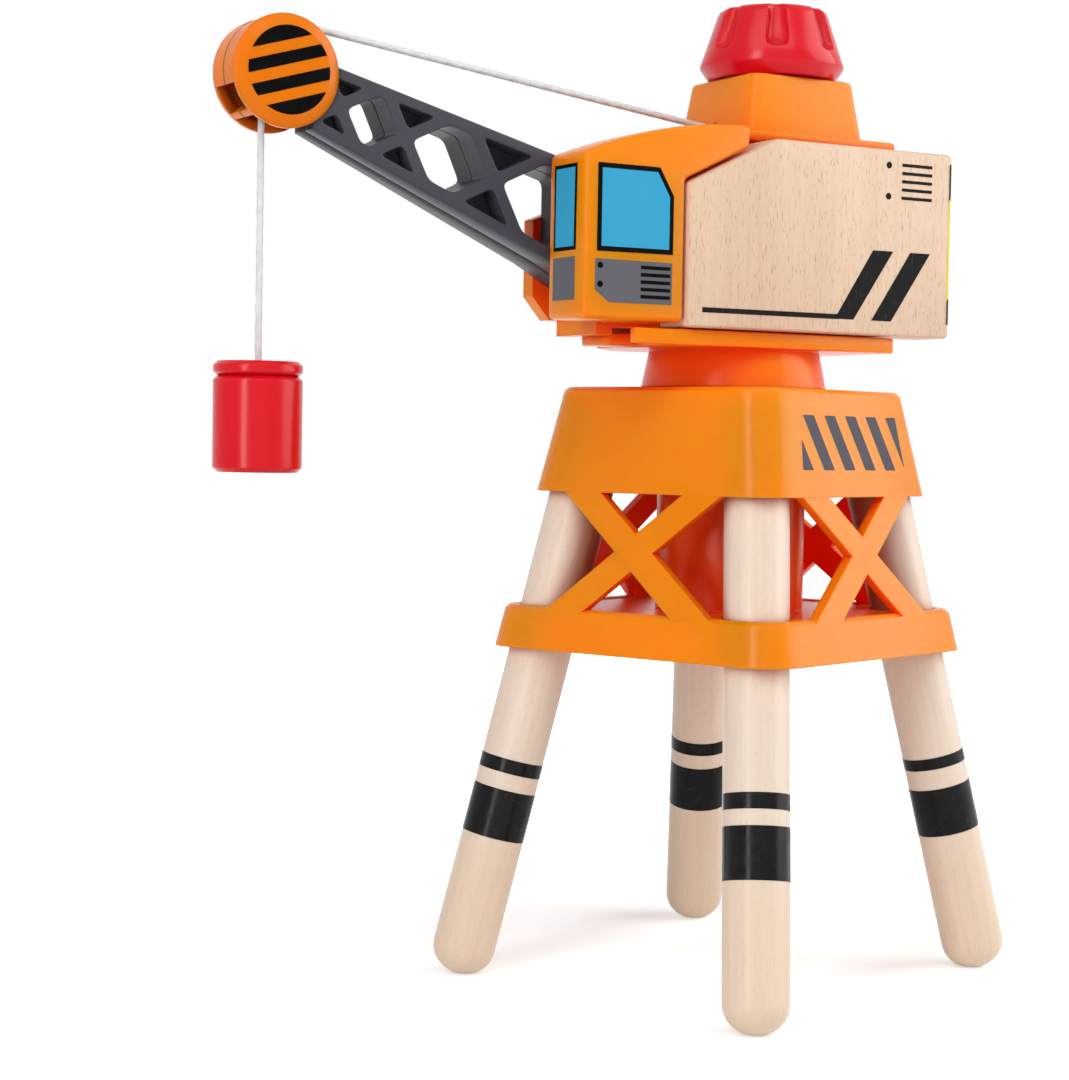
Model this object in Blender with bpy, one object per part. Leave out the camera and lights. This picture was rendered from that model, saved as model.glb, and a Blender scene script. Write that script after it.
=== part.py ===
"""Toy tower crane: wooden legs, a moulded tower, and a turret with a jib, a winch and a magnet.

All sizes are in millimetres and are turned into metres when a mesh is made.
The tower stands on the floor, z = 0, with its slewing axis on Z.
Turret pieces are drawn in the turret's own frame, x forward along the jib and y to its left,
and their empty then turns them to the slewing angle of the rest pose.
"""

from math import atan2, cos, pi, radians, sin, sqrt

import bmesh
import bpy
from mathutils import Matrix, Vector

MM = 0.001
CLEAR = 0.3               # gap between two pieces that meet
WELD = 0.003              # points closer than this are one point after a cut

# Legs
LEG_D = 11.5              # dowel
FOOT_X = 33.4             # leg axis at the floor
FOOT_Y = 36.8
TOP_X = 16.64             # leg axis at the top of the collar
TOP_Y = 16.26
FOOT_DOME = 5.0           # height of the rounded foot
FOOT_FLAT = 0.35          # depth that is cut level at the floor

# Tower frame
RING_UNDER = 60.3         # clear height below the ring
RING_H = 7.7
RING_WALL = 3.2
BRACE_H = 21.0            # open height between the ring and the collar
BRACE_T = 1.9
BRACE_TOP_IN = 9.8        # brace ends along each face, from the face's middle
BRACE_TOP_OUT = 18.0
BRACE_LOW_IN = 10.9
BRACE_LOW_OUT = 19.3
COLLAR_H = 19.1
COLLAR_WALL = 2.4
SOCKET_WALL = 1.5         # plastic outside a leg
EDGE_ROUND = 0.7

# Centre post
POST_R = 13.7
POST_WALL = 2.0
FLOOR_T = 2.0

# Turntable
SLEW_ANGLE = -109.8       # degrees, jib direction in the rest pose
NECK_R_LOW = 17.1
NECK_R_TOP = 15.45
NECK_H = 6.85
PLATE_T = 2.8
PLATE_HALF_W = 17.7
PLATE_REAR = -23.4
PLATE_FRONT = 24.0
PLATE_CORNER = 8.0        # cut off the right front corner
RAIL_FRONT = 33.0
RAIL_T = 1.8
TONGUE_FRONT = 30.3
TONGUE_HALF_W = 4.7
SPINDLE_R = 6.0
SPINDLE_PLAY = 0.5
WASHER_R = 8.5
WASHER_T = 1.0
SCREW_HEAD_R = 3.0
SCREW_HEAD_H = 2.0
SCREW_R = 1.5
SCREW_L = 9.0

# Turret body
BODY_H = 33.95            # wooden side blocks
BLOCK_T = 9.4
BLOCK_REAR = -34.9
BLOCK_FRONT = 23.3
BLOCK_CHAMFER_X = 18.4    # front top chamfer
BLOCK_CHAMFER_Z = 9.0
BLOCK_ROUND = 0.7
CORE_REAR = -27.0
CHEEK_T = 3.2
CHEEK_FRONT = 39.7
CHEEK_TOP_FRONT = 19.35   # above the bottom of the blocks
CHEEK_TOP_RISE = 0.41     # slope of the cheek's upper edge
CHEEK_LOW_FRONT = 5.65
CHEEK_LOW_BACK = 36.1
CHEEK_LOW = 1.5
CHEEK_FLOOR_T = 1.95
LIP_DROP = 1.35           # the core's front lip hangs below its floor
LIP_FRONT = 34.0
LIP_RIGHT = 7.3           # right end of the lip and the floor

# Cab
CAB_FRONT = 44.15
CAB_W = 12.4
CAB_FLOOR_GAP = 0.7       # cab floor above the bottom of the blocks
CAB_FRONT_DROP = 5.0      # top of the cab's front below the top of the blocks
CAB_ROOF_RISE = 6.9       # the roof's rise to its rear end
CAB_REAR_TOP = 10.3
CAB_TAIL_H = 3.9
CAB_SEAM = 0.5            # dark line between the cab and the block
CAB_WALL = 1.8
CAB_ROUND = 1.0

# Top housing and winch
DECK_H = 2.05
DECK_HALF_W = 12.5
DECK_FRONT = 9.8
DECK_REAR = -27.0
HOUSING_X = -7.24         # winch axis, behind the slewing axis
HOUSING_BASE = 12.2       # half width at the deck
HOUSING_TOP = 10.8
HOUSING_LONG = 1.06       # length over width
HOUSING_H = 10.55
HOUSING_ROUND = 2.2
HOUSING_WALL = 2.0
LINE_HOLE_UP = 0.95       # string hole above the deck
LINE_HOLE_R = 1.4
SHAFT_R = 2.5
SHAFT_BELOW = 8.0         # shaft end below the deck
SPOOL_R = 7.6
SPOOL_CORE_R = 4.2
SPOOL_FLANGE = 1.0
WINDING_T = 2.2
KNOB_R = 13.4
KNOB_LOW_R = 11.7
KNOB_TOP_R = 10.3
KNOB_H = 13.1
KNOB_RIM_UP = 2.45        # widest ring above the knob's underside
KNOB_TURN = 7.4           # degrees, rest angle of the flutes
KNOB_BORE = 8.0
FLUTES = 7
FLUTE_DEPTH = 1.7
FLUTE_HALF = 10.5         # degrees, half the width of a flute

# Jib
PIN_X = 34.0
PIN_UP = 13.15            # pin above the bottom of the blocks
PIN_R = 2.0
LUG_R = 7.0
JIB_ROOT_X = 38.0
JIB_ROOT_TOP = 28.3       # heights above the bottom of the blocks
JIB_TIP_X = 88.0
JIB_TIP_TOP = 42.35
JIB_TIP_LOW = 30.45
JIB_LOW_SLOPE = 0.4384
JIB_HALF_ROOT = 6.2       # half thickness
JIB_HALF_TIP = 3.9
POCKET_FLOOR = 1.2
CHORD = 2.3               # height of the lattice's chords
LATTICE_ROUND = 1.1       # length that a rounded corner takes off each side of an opening
BAR = 2.0                 # width of the lattice's crossing bars
CROSSINGS = (4.8, 16.8, 33.8, 54.8)     # where the bars cross, back from the tip

# Head and line
HEAD_AHEAD = 4.95         # drum centre beyond the jib's tip
HEAD_UP = 39.5            # drum centre above the bottom of the blocks
DRUM_R = 9.35
DRUM_WALL = 1.7
DRUM_HALF_W = 5.5
DRUM_FACE_T = 1.3
DRUM_CHAMFER_R = 1.9
DRUM_CHAMFER_Y = 1.0
GUIDE_R = 1.75           # groove
GUIDE_FLANGE_R = 2.8
GUIDE_HALF_W = 1.3
GUIDE_BACK = 0.1         # guide behind the drum's centre
GUIDE_IN = 3.05          # guide's axis below the top of the drum
GUIDE_PIN_R = 0.8
LINE_R = 0.6
LINE_DROP = 53.75         # guide's axis down to the top of the magnet
MAGNET_R = 7.4
MAGNET_H = 18.3
MAGNET_CAP_H = 2.3
MAGNET_GROOVE = 0.5
MAGNET_SEAT = 0.9         # rise of the cup's conical rim into the cap
MAGNET_WALL = 1.2
DISC_T = 4.0
KNOT_R = 1.6

# Heights that follow from the stack
RING_TOP = RING_UNDER + RING_H
COLLAR_LOW = RING_TOP + BRACE_H
COLLAR_TOP = COLLAR_LOW + COLLAR_H
NECK_LOW = COLLAR_TOP + CLEAR
PLATE_LOW = NECK_LOW + NECK_H
PLATE_TOP = PLATE_LOW + PLATE_T
BODY_LOW = PLATE_TOP + CLEAR
BODY_TOP = BODY_LOW + BODY_H
DECK_LOW = BODY_TOP + CLEAR
DECK_TOP = DECK_LOW + DECK_H
HOUSING_Z = DECK_TOP + HOUSING_H
KNOB_LOW = HOUSING_Z + CLEAR
LEG_R = LEG_D / 2
LEG_END = COLLAR_TOP - COLLAR_WALL - 0.3 * LEG_R

SLOT_HALF = JIB_HALF_ROOT + CLEAR
CORE_HALF = SLOT_HALF + CHEEK_T
BLOCK_IN = CORE_HALF + CLEAR
BLOCK_OUT = BLOCK_IN + BLOCK_T
CAB_OUT = SLOT_HALF + CAB_W
CORE_FRONT = BLOCK_FRONT - CLEAR
CAB_REAR = BLOCK_FRONT + CAB_SEAM
PIN_Z = BODY_LOW + PIN_UP
HEAD_Z = BODY_LOW + HEAD_UP
HEAD_X = JIB_TIP_X + HEAD_AHEAD
GUIDE_X = HEAD_X - GUIDE_BACK
GUIDE_Z = HEAD_Z + DRUM_R - GUIDE_IN
LINE_WRAP_R = GUIDE_R + CLEAR + LINE_R
HANG_X = GUIDE_X + LINE_WRAP_R
MAGNET_TOP = GUIDE_Z - LINE_DROP
MAGNET_LOW = MAGNET_TOP - MAGNET_H
SPOOL_LOW = DECK_LOW + CLEAR
SPOOL_TOP = HOUSING_Z - HOUSING_WALL - CLEAR

MATERIALS = {
    "orange_plastic": ((0.86, 0.24, 0.012), 0.38, 0.0),
    "red_plastic": ((0.70, 0.012, 0.022), 0.32, 0.0),
    "grey_plastic": ((0.09, 0.09, 0.11), 0.45, 0.0),
    "beech": ((0.78, 0.58, 0.38), 0.6, 0.0),
    "dowel_wood": ((0.80, 0.66, 0.48), 0.6, 0.0),
    "steel": ((0.62, 0.62, 0.64), 0.3, 1.0),
    "string": ((0.85, 0.84, 0.82), 0.9, 0.0),
}


def clear_scene():
    for old in list(bpy.data.objects):
        bpy.data.objects.remove(old, do_unlink=True)


def material(name):
    found = bpy.data.materials.get(name)
    if found:
        return found
    colour, roughness, metallic = MATERIALS[name]
    made = bpy.data.materials.new(name)
    made.use_nodes = True
    shader = made.node_tree.nodes["Principled BSDF"]
    shader.inputs["Base Color"].default_value = (*colour, 1.0)
    shader.inputs["Roughness"].default_value = roughness
    shader.inputs["Metallic"].default_value = metallic
    return made


def new_object(name, mesh):
    made = bpy.data.objects.new(name, mesh)
    bpy.context.scene.collection.objects.link(made)
    return made


def mesh_from(name, points, faces):
    """A closed mesh from points in millimetres and faces, with its faces turned outwards."""
    mesh = bpy.data.meshes.new(name)
    work = bmesh.new()
    corners = [work.verts.new(Vector(point) * MM) for point in points]
    for face in faces:
        work.faces.new([corners[index] for index in face])
    bmesh.ops.recalc_face_normals(work, faces=work.faces)
    work.to_mesh(mesh)
    work.free()
    return new_object(name, mesh)


def loft(name, rings):
    """A solid through rings of equal point counts, capped at both ends."""
    count = len(rings[0])
    points = [point for ring in rings for point in ring]
    faces = [tuple(range(count)), tuple(range(len(points) - count, len(points)))]
    for level in range(len(rings) - 1):
        low = level * count
        for index in range(count):
            after = (index + 1) % count
            faces.append((low + index, low + after, low + count + after, low + count + index))
    return mesh_from(name, points, faces)


def turned(name, profile, centre=(0.0, 0.0), steps=32):
    """A solid of revolution about a vertical axis from (radius, height) pairs."""
    rings = []
    for radius, height in profile:
        ring = []
        for step in range(steps):
            angle = 2 * pi * step / steps
            ring.append((centre[0] + radius * cos(angle), centre[1] + radius * sin(angle), height))
        rings.append(ring)
    return loft(name, rings)


def turned_on_y(name, profile, centre, steps=32):
    """A solid of revolution about the y direction from (radius, y) pairs, centred on (x, z)."""
    rings = []
    for radius, across in profile:
        ring = []
        for step in range(steps):
            angle = 2 * pi * step / steps
            ring.append((centre[0] + radius * cos(angle), across, centre[1] + radius * sin(angle)))
        rings.append(ring)
    return loft(name, rings)


def rod(name, start, end, radius, steps=32):
    """A straight cylinder between two points."""
    axis = Vector(end) - Vector(start)
    turn = axis.to_track_quat("Z", "Y")
    rings = []
    for base in (Vector(start), Vector(end)):
        ring = []
        for step in range(steps):
            angle = 2 * pi * step / steps
            ring.append(base + turn @ Vector((radius * cos(angle), radius * sin(angle), 0.0)))
        rings.append(ring)
    return loft(name, rings)


def box(name, low, high):
    ring = [(low[0], low[1]), (high[0], low[1]), (high[0], high[1]), (low[0], high[1])]
    return loft(name, [[(x, y, z) for x, y in ring] for z in (low[2], high[2])])


def side_prism(name, outline, inner, outer):
    """An (x, z) outline carried from one y to another; each y is a number or a function of x."""
    def level(value, x):
        return value(x) if callable(value) else value

    rings = [[(x, level(side, x), z) for x, z in outline] for side in (inner, outer)]
    return loft(name, rings)


def apply_modifiers(target):
    graph = bpy.context.evaluated_depsgraph_get()
    evaluated = target.evaluated_get(graph)
    finished = bpy.data.meshes.new_from_object(evaluated)
    target.modifiers.clear()
    target.data = finished


def close_seams(work):
    """Split an open edge where the end of another one lies on it, so that both sides meet."""
    ends = {corner for edge in work.edges if edge.is_boundary for corner in edge.verts}
    for end in ends:
        for edge in [edge for edge in work.edges if edge.is_boundary and end not in edge.verts]:
            base = edge.verts[0].co
            span = edge.verts[1].co - base
            share = (end.co - base).dot(span) / span.length_squared
            if 0 < share < 1 and (base + span * share - end.co).length < WELD * MM:
                met = bmesh.utils.edge_split(edge, edge.verts[0], share)[1]
                met.co = end.co
    bmesh.ops.remove_doubles(work, verts=work.verts, dist=WELD * MM)


def triangulate(target):
    work = bmesh.new()
    work.from_mesh(target.data)
    bmesh.ops.remove_doubles(work, verts=work.verts, dist=WELD * MM)
    bmesh.ops.dissolve_degenerate(work, dist=WELD * MM, edges=work.edges)
    close_seams(work)
    bmesh.ops.triangulate(work, faces=work.faces)
    work.to_mesh(target.data)
    work.free()


def combine(target, others, operation):
    """Join other solids to a target, or cut them out of it, one after another."""
    triangulate(target)
    for other in others:
        triangulate(other)
        step = target.modifiers.new("solid", "BOOLEAN")
        step.operation = operation
        step.object = other
        step.solver = "EXACT"
        apply_modifiers(target)
        triangulate(target)
        bpy.data.objects.remove(other, do_unlink=True)
    return target


def cut(target, *others):
    return combine(target, others, "DIFFERENCE")


def join(target, *others):
    return combine(target, others, "UNION")


def soften(target, width, segments=2, angle=40.0):
    """Round the edges that turn by more than an angle."""
    step = target.modifiers.new("edges", "BEVEL")
    step.width = width * MM
    step.segments = segments
    step.limit_method = "ANGLE"
    step.angle_limit = radians(angle)
    apply_modifiers(target)
    return target


def finish(target, material_name, smooth_angle=35.0):
    target.data.materials.clear()
    target.data.materials.append(material(material_name))
    target.data.shade_smooth()
    target.data.set_sharp_from_angle(angle=radians(smooth_angle))
    return target


def rounded_square(half, radius, height, steps=5):
    """Corner points of a square with round corners, at one height."""
    ring = []
    for quarter in range(4):
        corner_angle = pi / 4 + quarter * pi / 2
        reach = (half - radius) * sqrt(2)
        centre = (reach * cos(corner_angle), reach * sin(corner_angle))
        for step in range(steps + 1):
            angle = quarter * pi / 2 + step * pi / 2 / steps
            ring.append((centre[0] + radius * cos(angle), centre[1] + radius * sin(angle), height))
    return ring


def cut_corner_square(half, corner, height):
    """A square whose corners are cut off straight, at one height."""
    ring = []
    for quarter in range(4):
        c = cos(quarter * pi / 2)
        s = sin(quarter * pi / 2)
        for x, y in ((half, half - corner), (half - corner, half)):
            ring.append((c * x - s * y, s * x + c * y, height))
    return ring


def leg_point(side_x, side_y, height):
    """The leg's axis at a height, for the leg on the given sides."""
    share = height / COLLAR_TOP
    return (side_x * (FOOT_X + (TOP_X - FOOT_X) * share), side_y * (FOOT_Y + (TOP_Y - FOOT_Y) * share), height)


def frame_half(height):
    """Half width of the tapered tower frame, which keeps its wall outside the legs."""
    def outside_leg(level):
        return max(leg_point(1, 1, level)[:2]) + LEG_R + CLEAR + SOCKET_WALL

    low = outside_leg(RING_UNDER)
    top = outside_leg(COLLAR_TOP)
    return low + (top - low) * (height - RING_UNDER) / (COLLAR_TOP - RING_UNDER)


CORNER_R = LEG_R + CLEAR + SOCKET_WALL - 0.6 * EDGE_ROUND
LEG_SIDES = {
    "leg_near": (1, -1),
    "leg_right": (1, 1),
    "leg_left": (-1, -1),
    "leg_far": (-1, 1),
}


def leg_bores(low, high):
    cutters = []
    for sides in LEG_SIDES.values():
        start = leg_point(*sides, low)
        end = leg_point(*sides, high)
        cutters.append(rod("bore", start, end, LEG_R + CLEAR, 24))
    return cutters


def leg(name, sides):
    """A dowel with a rounded foot, cut level where it stands on the floor."""
    axis = Vector(leg_point(*sides, 1.0)) - Vector(leg_point(*sides, 0.0))
    axis.normalize()
    turn = axis.to_track_quat("Z", "Y")
    foot = Vector(leg_point(*sides, 0.0)) - axis * FOOT_FLAT
    length = LEG_END / axis.z + FOOT_FLAT
    profile = []
    for step in range(7):
        angle = -pi / 2 + step * pi / 12
        profile.append((LEG_R * max(cos(angle), 0.03), FOOT_DOME * (1 + sin(angle))))
    profile += [(LEG_R, length - EDGE_ROUND), (LEG_R - EDGE_ROUND, length)]
    rings = []
    steps = 28
    for radius, along in profile:
        ring = []
        for step in range(steps):
            angle = 2 * pi * step / steps
            ring.append(foot + turn @ Vector((radius * cos(angle), radius * sin(angle), along)))
        rings.append(ring)
    made = loft(name, rings)
    deep = 4 * FOOT_DOME
    reach = 2 * LEG_D
    floor_block = box(
        "floor_cut",
        (foot.x - reach, foot.y - reach, -deep),
        (foot.x + reach, foot.y + reach, 0.0),
    )
    return finish(cut(made, floor_block), "dowel_wood")


def tower_frame():
    """Collar, crossed braces and ring in one moulding, bored for the legs."""
    collar = loft("tower_frame", [
        rounded_square(frame_half(COLLAR_LOW), CORNER_R, COLLAR_LOW),
        rounded_square(frame_half(COLLAR_TOP - EDGE_ROUND), CORNER_R, COLLAR_TOP - EDGE_ROUND),
        rounded_square(frame_half(COLLAR_TOP) - EDGE_ROUND, CORNER_R - EDGE_ROUND, COLLAR_TOP),
    ])
    corner_block = 2 * (LEG_R + CLEAR) + SOCKET_WALL
    inside_top = COLLAR_TOP - COLLAR_WALL
    cavity = loft("cavity", [
        cut_corner_square(frame_half(COLLAR_LOW) - COLLAR_WALL, corner_block, COLLAR_LOW - CLEAR),
        cut_corner_square(frame_half(inside_top) - COLLAR_WALL, corner_block, inside_top),
    ])
    hub = rod("hub", (0, 0, inside_top - 1), (0, 0, COLLAR_TOP + 1), SPINDLE_R + CLEAR)
    cut(collar, cavity, hub)

    ring = loft("ring", [
        rounded_square(frame_half(RING_UNDER), CORNER_R, RING_UNDER),
        rounded_square(frame_half(RING_TOP - EDGE_ROUND), CORNER_R, RING_TOP - EDGE_ROUND),
        rounded_square(frame_half(RING_TOP) - EDGE_ROUND, CORNER_R - EDGE_ROUND, RING_TOP),
    ])
    window = loft("window", [
        cut_corner_square(frame_half(RING_TOP) - RING_WALL, corner_block, RING_UNDER - 1),
        cut_corner_square(frame_half(RING_TOP) - RING_WALL, corner_block, RING_TOP + 1),
    ])
    cut(ring, window)

    braces = []
    sink = 0.8 * EDGE_ROUND
    for face in range(4):
        turn = Matrix.Rotation(face * pi / 2, 3, "Z")
        for hand in (1, -1):
            corners = (
                (-hand * BRACE_LOW_OUT, RING_TOP - sink - EDGE_ROUND),
                (-hand * BRACE_LOW_IN, RING_TOP - sink - EDGE_ROUND),
                (hand * BRACE_TOP_OUT, COLLAR_LOW + sink),
                (hand * BRACE_TOP_IN, COLLAR_LOW + sink),
            )
            rings = []
            for depth in (0.05, BRACE_T):
                rings.append([turn @ Vector((x, -frame_half(z) + depth, z)) for x, z in corners])
            braces.append(loft("brace", rings))
    join(collar, ring, *braces)
    cut(collar, *leg_bores(RING_UNDER - 8, LEG_END + CLEAR))
    return finish(collar, "orange_plastic")


def centre_post():
    """Floor inside the ring with the tube that the spindle turns in."""
    half = frame_half(RING_TOP) - RING_WALL - CLEAR
    corner_block = 2 * (LEG_R + CLEAR) + SOCKET_WALL
    top = RING_TOP - CLEAR
    made = loft("centre_post", [
        cut_corner_square(half, corner_block, top - FLOOR_T),
        cut_corner_square(half, corner_block, top),
    ])
    tube_top = COLLAR_TOP - COLLAR_WALL - CLEAR
    tube = rod("tube", (0, 0, top - 1), (0, 0, tube_top), POST_R, 40)
    hollow = rod("hollow", (0, 0, top - FLOOR_T - 1), (0, 0, tube_top + 1), POST_R - POST_WALL, 40)
    join(made, tube)
    cut(made, hollow, *leg_bores(RING_UNDER - 8, LEG_END + CLEAR))
    return finish(made, "orange_plastic")


def turntable():
    """Plate, rail and neck of the turret, with the spindle that turns in the collar."""
    spindle_low = COLLAR_TOP - COLLAR_WALL - SPINDLE_PLAY
    made = turned("turntable", [
        (SPINDLE_R, spindle_low),
        (SPINDLE_R, NECK_LOW),
        (NECK_R_LOW, NECK_LOW),
        (NECK_R_TOP, PLATE_LOW + PLATE_T / 2),
    ], steps=48)
    outline = [
        (PLATE_REAR, -PLATE_HALF_W),
        (PLATE_FRONT - PLATE_CORNER, -PLATE_HALF_W),
        (PLATE_FRONT, PLATE_CORNER - PLATE_HALF_W),
        (PLATE_FRONT, PLATE_HALF_W),
        (PLATE_REAR, PLATE_HALF_W),
    ]
    plate = loft("plate", [[(x, y, z) for x, y in outline] for z in (PLATE_LOW, PLATE_TOP)])
    tongue = box(
        "tongue",
        (PLATE_FRONT - 2, -TONGUE_HALF_W, PLATE_LOW + 0.1),
        (TONGUE_FRONT, TONGUE_HALF_W, PLATE_TOP - 0.6),
    )
    side = PLATE_HALF_W - 0.05
    rail = box("rail", (PLATE_FRONT - 2, side - RAIL_T, PLATE_LOW + 0.05), (RAIL_FRONT, side, PLATE_TOP - 0.05))
    for bar in (plate, tongue, rail):
        soften(bar, 0.5 * EDGE_ROUND, 2, 30.0)
    join(made, plate, tongue, rail)
    pilot = rod("pilot", (0, 0, spindle_low - 1), (0, 0, spindle_low + SCREW_L), SCREW_R + CLEAR, 20)
    return finish(cut(made, pilot), "orange_plastic")


def slew_fasteners():
    """Washer and screw that hold the spindle down in the collar."""
    washer_top = COLLAR_TOP - COLLAR_WALL - SPINDLE_PLAY - CLEAR
    washer = turned("slew_washer", [
        (WASHER_R, washer_top - WASHER_T),
        (WASHER_R, washer_top),
    ])
    hole = rod("hole", (0, 0, washer_top - 5), (0, 0, washer_top + 5), SCREW_R + CLEAR, 20)
    finish(cut(washer, hole), "steel")
    head_top = washer_top - WASHER_T - CLEAR
    screw = turned("slew_screw", [
        (0.6 * SCREW_HEAD_R, head_top - SCREW_HEAD_H),
        (SCREW_HEAD_R, head_top - 0.5 * SCREW_HEAD_H),
        (SCREW_HEAD_R, head_top),
        (SCREW_R, head_top),
        (SCREW_R, head_top + SCREW_L),
    ], steps=20)
    return washer, finish(screw, "steel")


def turret_core():
    """Middle of the turret: the block between the wooden sides, its floor and the right cheek."""
    made = side_prism("turret_core", [
        (CORE_REAR, BODY_LOW),
        (CORE_FRONT, BODY_LOW),
        (CORE_FRONT, chamfer_height(CORE_FRONT)),
        (BLOCK_FRONT - BLOCK_CHAMFER_X, BODY_TOP),
        (CORE_REAR, BODY_TOP),
    ], -CORE_HALF, CORE_HALF)
    back = CORE_FRONT - 1
    floor = box("floor", (back, -LIP_RIGHT, BODY_LOW), (LIP_FRONT, JIB_HALF_ROOT, BODY_LOW + CHEEK_FLOOR_T))
    lip = box(
        "lip",
        (TONGUE_FRONT + CLEAR, -LIP_RIGHT, BODY_LOW - LIP_DROP),
        (LIP_FRONT, JIB_HALF_ROOT, BODY_LOW + 0.5),
    )
    front_top = BODY_LOW + CHEEK_TOP_FRONT
    cheek = side_prism("cheek", [
        (back, BODY_LOW + CHEEK_LOW),
        (CHEEK_LOW_BACK, BODY_LOW + CHEEK_LOW),
        (CHEEK_FRONT, BODY_LOW + CHEEK_LOW_FRONT),
        (CHEEK_FRONT, front_top),
        (back, front_top + CHEEK_TOP_RISE * (CHEEK_FRONT - back)),
    ], -CORE_HALF, -SLOT_HALF)
    join(made, floor, lip, cheek)
    pin_hole = rod("pin_hole", (PIN_X, -CORE_HALF - 1, PIN_Z), (PIN_X, 0, PIN_Z), PIN_R + CLEAR, 24)
    bore = rod(
        "bore",
        (HOUSING_X, 0, DECK_LOW - SHAFT_BELOW - CLEAR),
        (HOUSING_X, 0, BODY_TOP + 1),
        SHAFT_R + CLEAR,
        24,
    )
    cut(made, pin_hole, bore)
    return finish(made, "orange_plastic")


def wooden_block(name, hand):
    """Side block with a chamfer above its front edge."""
    outline = [
        (BLOCK_REAR, BODY_LOW),
        (BLOCK_FRONT, BODY_LOW),
        (BLOCK_FRONT, BODY_TOP - BLOCK_CHAMFER_Z),
        (BLOCK_FRONT - BLOCK_CHAMFER_X, BODY_TOP),
        (BLOCK_REAR, BODY_TOP),
    ]
    made = side_prism(name, outline, hand * BLOCK_IN, hand * BLOCK_OUT)
    return finish(soften(made, BLOCK_ROUND, 2, 20.0), "beech")


def cab_roof(x, front_z):
    """Height of the cab's roof, which curves up towards its rear end."""
    share = (CAB_FRONT - x) / (CAB_FRONT - CAB_REAR_TOP)
    return front_z + CAB_ROOF_RISE * (1 - (1 - share) ** 2)


def chamfer_height(x):
    """Height of the wooden block's front chamfer."""
    return BODY_TOP - BLOCK_CHAMFER_Z * (x - BLOCK_FRONT + BLOCK_CHAMFER_X) / BLOCK_CHAMFER_X


def cab():
    """Driver's cab on the left, with a tail that lies along the block's chamfer."""
    low = BODY_LOW + CAB_FLOOR_GAP
    front_z = BODY_TOP - CAB_FRONT_DROP
    roof = []
    roof_steps = 10
    for step in range(roof_steps + 1):
        x = CAB_FRONT + (CAB_REAR_TOP - CAB_FRONT) * step / roof_steps
        roof.append((x, cab_roof(x, front_z)))
    tail_low = max(roof[-1][1] - CAB_TAIL_H, chamfer_height(CAB_REAR_TOP) + CAB_SEAM)
    outline = [(CAB_REAR, low), (CAB_FRONT, low), *roof, (CAB_REAR_TOP, tail_low)]
    outline.append((CAB_REAR, chamfer_height(CAB_REAR) + CAB_SEAM + CLEAR))
    made = side_prism("cab", outline, SLOT_HALF, CAB_OUT)
    soften(made, CAB_ROUND, 3, 40.0)
    inside = CAB_FRONT - CAB_WALL
    room = side_prism("room", [
        (CAB_REAR - 5, low + CAB_WALL),
        (inside, low + CAB_WALL),
        (inside, front_z - CAB_WALL),
        (CAB_REAR + 1, chamfer_height(CAB_REAR)),
        (CAB_REAR - 5, chamfer_height(CAB_REAR)),
    ], SLOT_HALF + CAB_WALL, CAB_OUT - CAB_WALL)
    pin_hole = rod("pin_hole", (PIN_X, 0, PIN_Z), (PIN_X, SLOT_HALF + CAB_WALL + 1, PIN_Z), PIN_R + CLEAR, 24)
    cut(made, room, pin_hole)
    return finish(made, "orange_plastic")


def top_housing():
    """Deck and winch housing, hollow from below for the spool."""
    made = box("top_housing", (DECK_REAR, -DECK_HALF_W, DECK_LOW), (DECK_FRONT, DECK_HALF_W, DECK_TOP))
    soften(made, EDGE_ROUND, 2, 60.0)
    tower = []
    crown = 0.25 * HOUSING_ROUND
    levels = (
        (HOUSING_BASE, HOUSING_ROUND, DECK_TOP - 0.5),
        (HOUSING_TOP, HOUSING_ROUND, HOUSING_Z - crown),
        (HOUSING_TOP - 0.3 * crown, HOUSING_ROUND, HOUSING_Z - 0.3 * crown),
        (HOUSING_TOP - crown, HOUSING_ROUND, HOUSING_Z),
    )
    for half, radius, height in levels:
        tower.append([(HOUSING_X + HOUSING_LONG * x, y, z) for x, y, z in rounded_square(half, radius, height)])
    join(made, loft("tower", tower))
    room_top = HOUSING_Z - HOUSING_WALL
    room = rod("room", (HOUSING_X, 0, DECK_LOW - 1), (HOUSING_X, 0, room_top), SPOOL_R + 2 * CLEAR, 36)
    shaft_hole = rod("hole", (HOUSING_X, 0, room_top - 1), (HOUSING_X, 0, HOUSING_Z + 1), SHAFT_R + CLEAR, 24)
    hole_z = DECK_TOP + LINE_HOLE_UP
    line_hole = rod(
        "line_hole",
        (HOUSING_X, 0, hole_z),
        (HOUSING_X + HOUSING_LONG * HOUSING_BASE + 5, 0, hole_z),
        LINE_HOLE_R,
        16,
    )
    cut(made, room, shaft_hole, line_hole)
    return finish(made, "orange_plastic")


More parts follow.
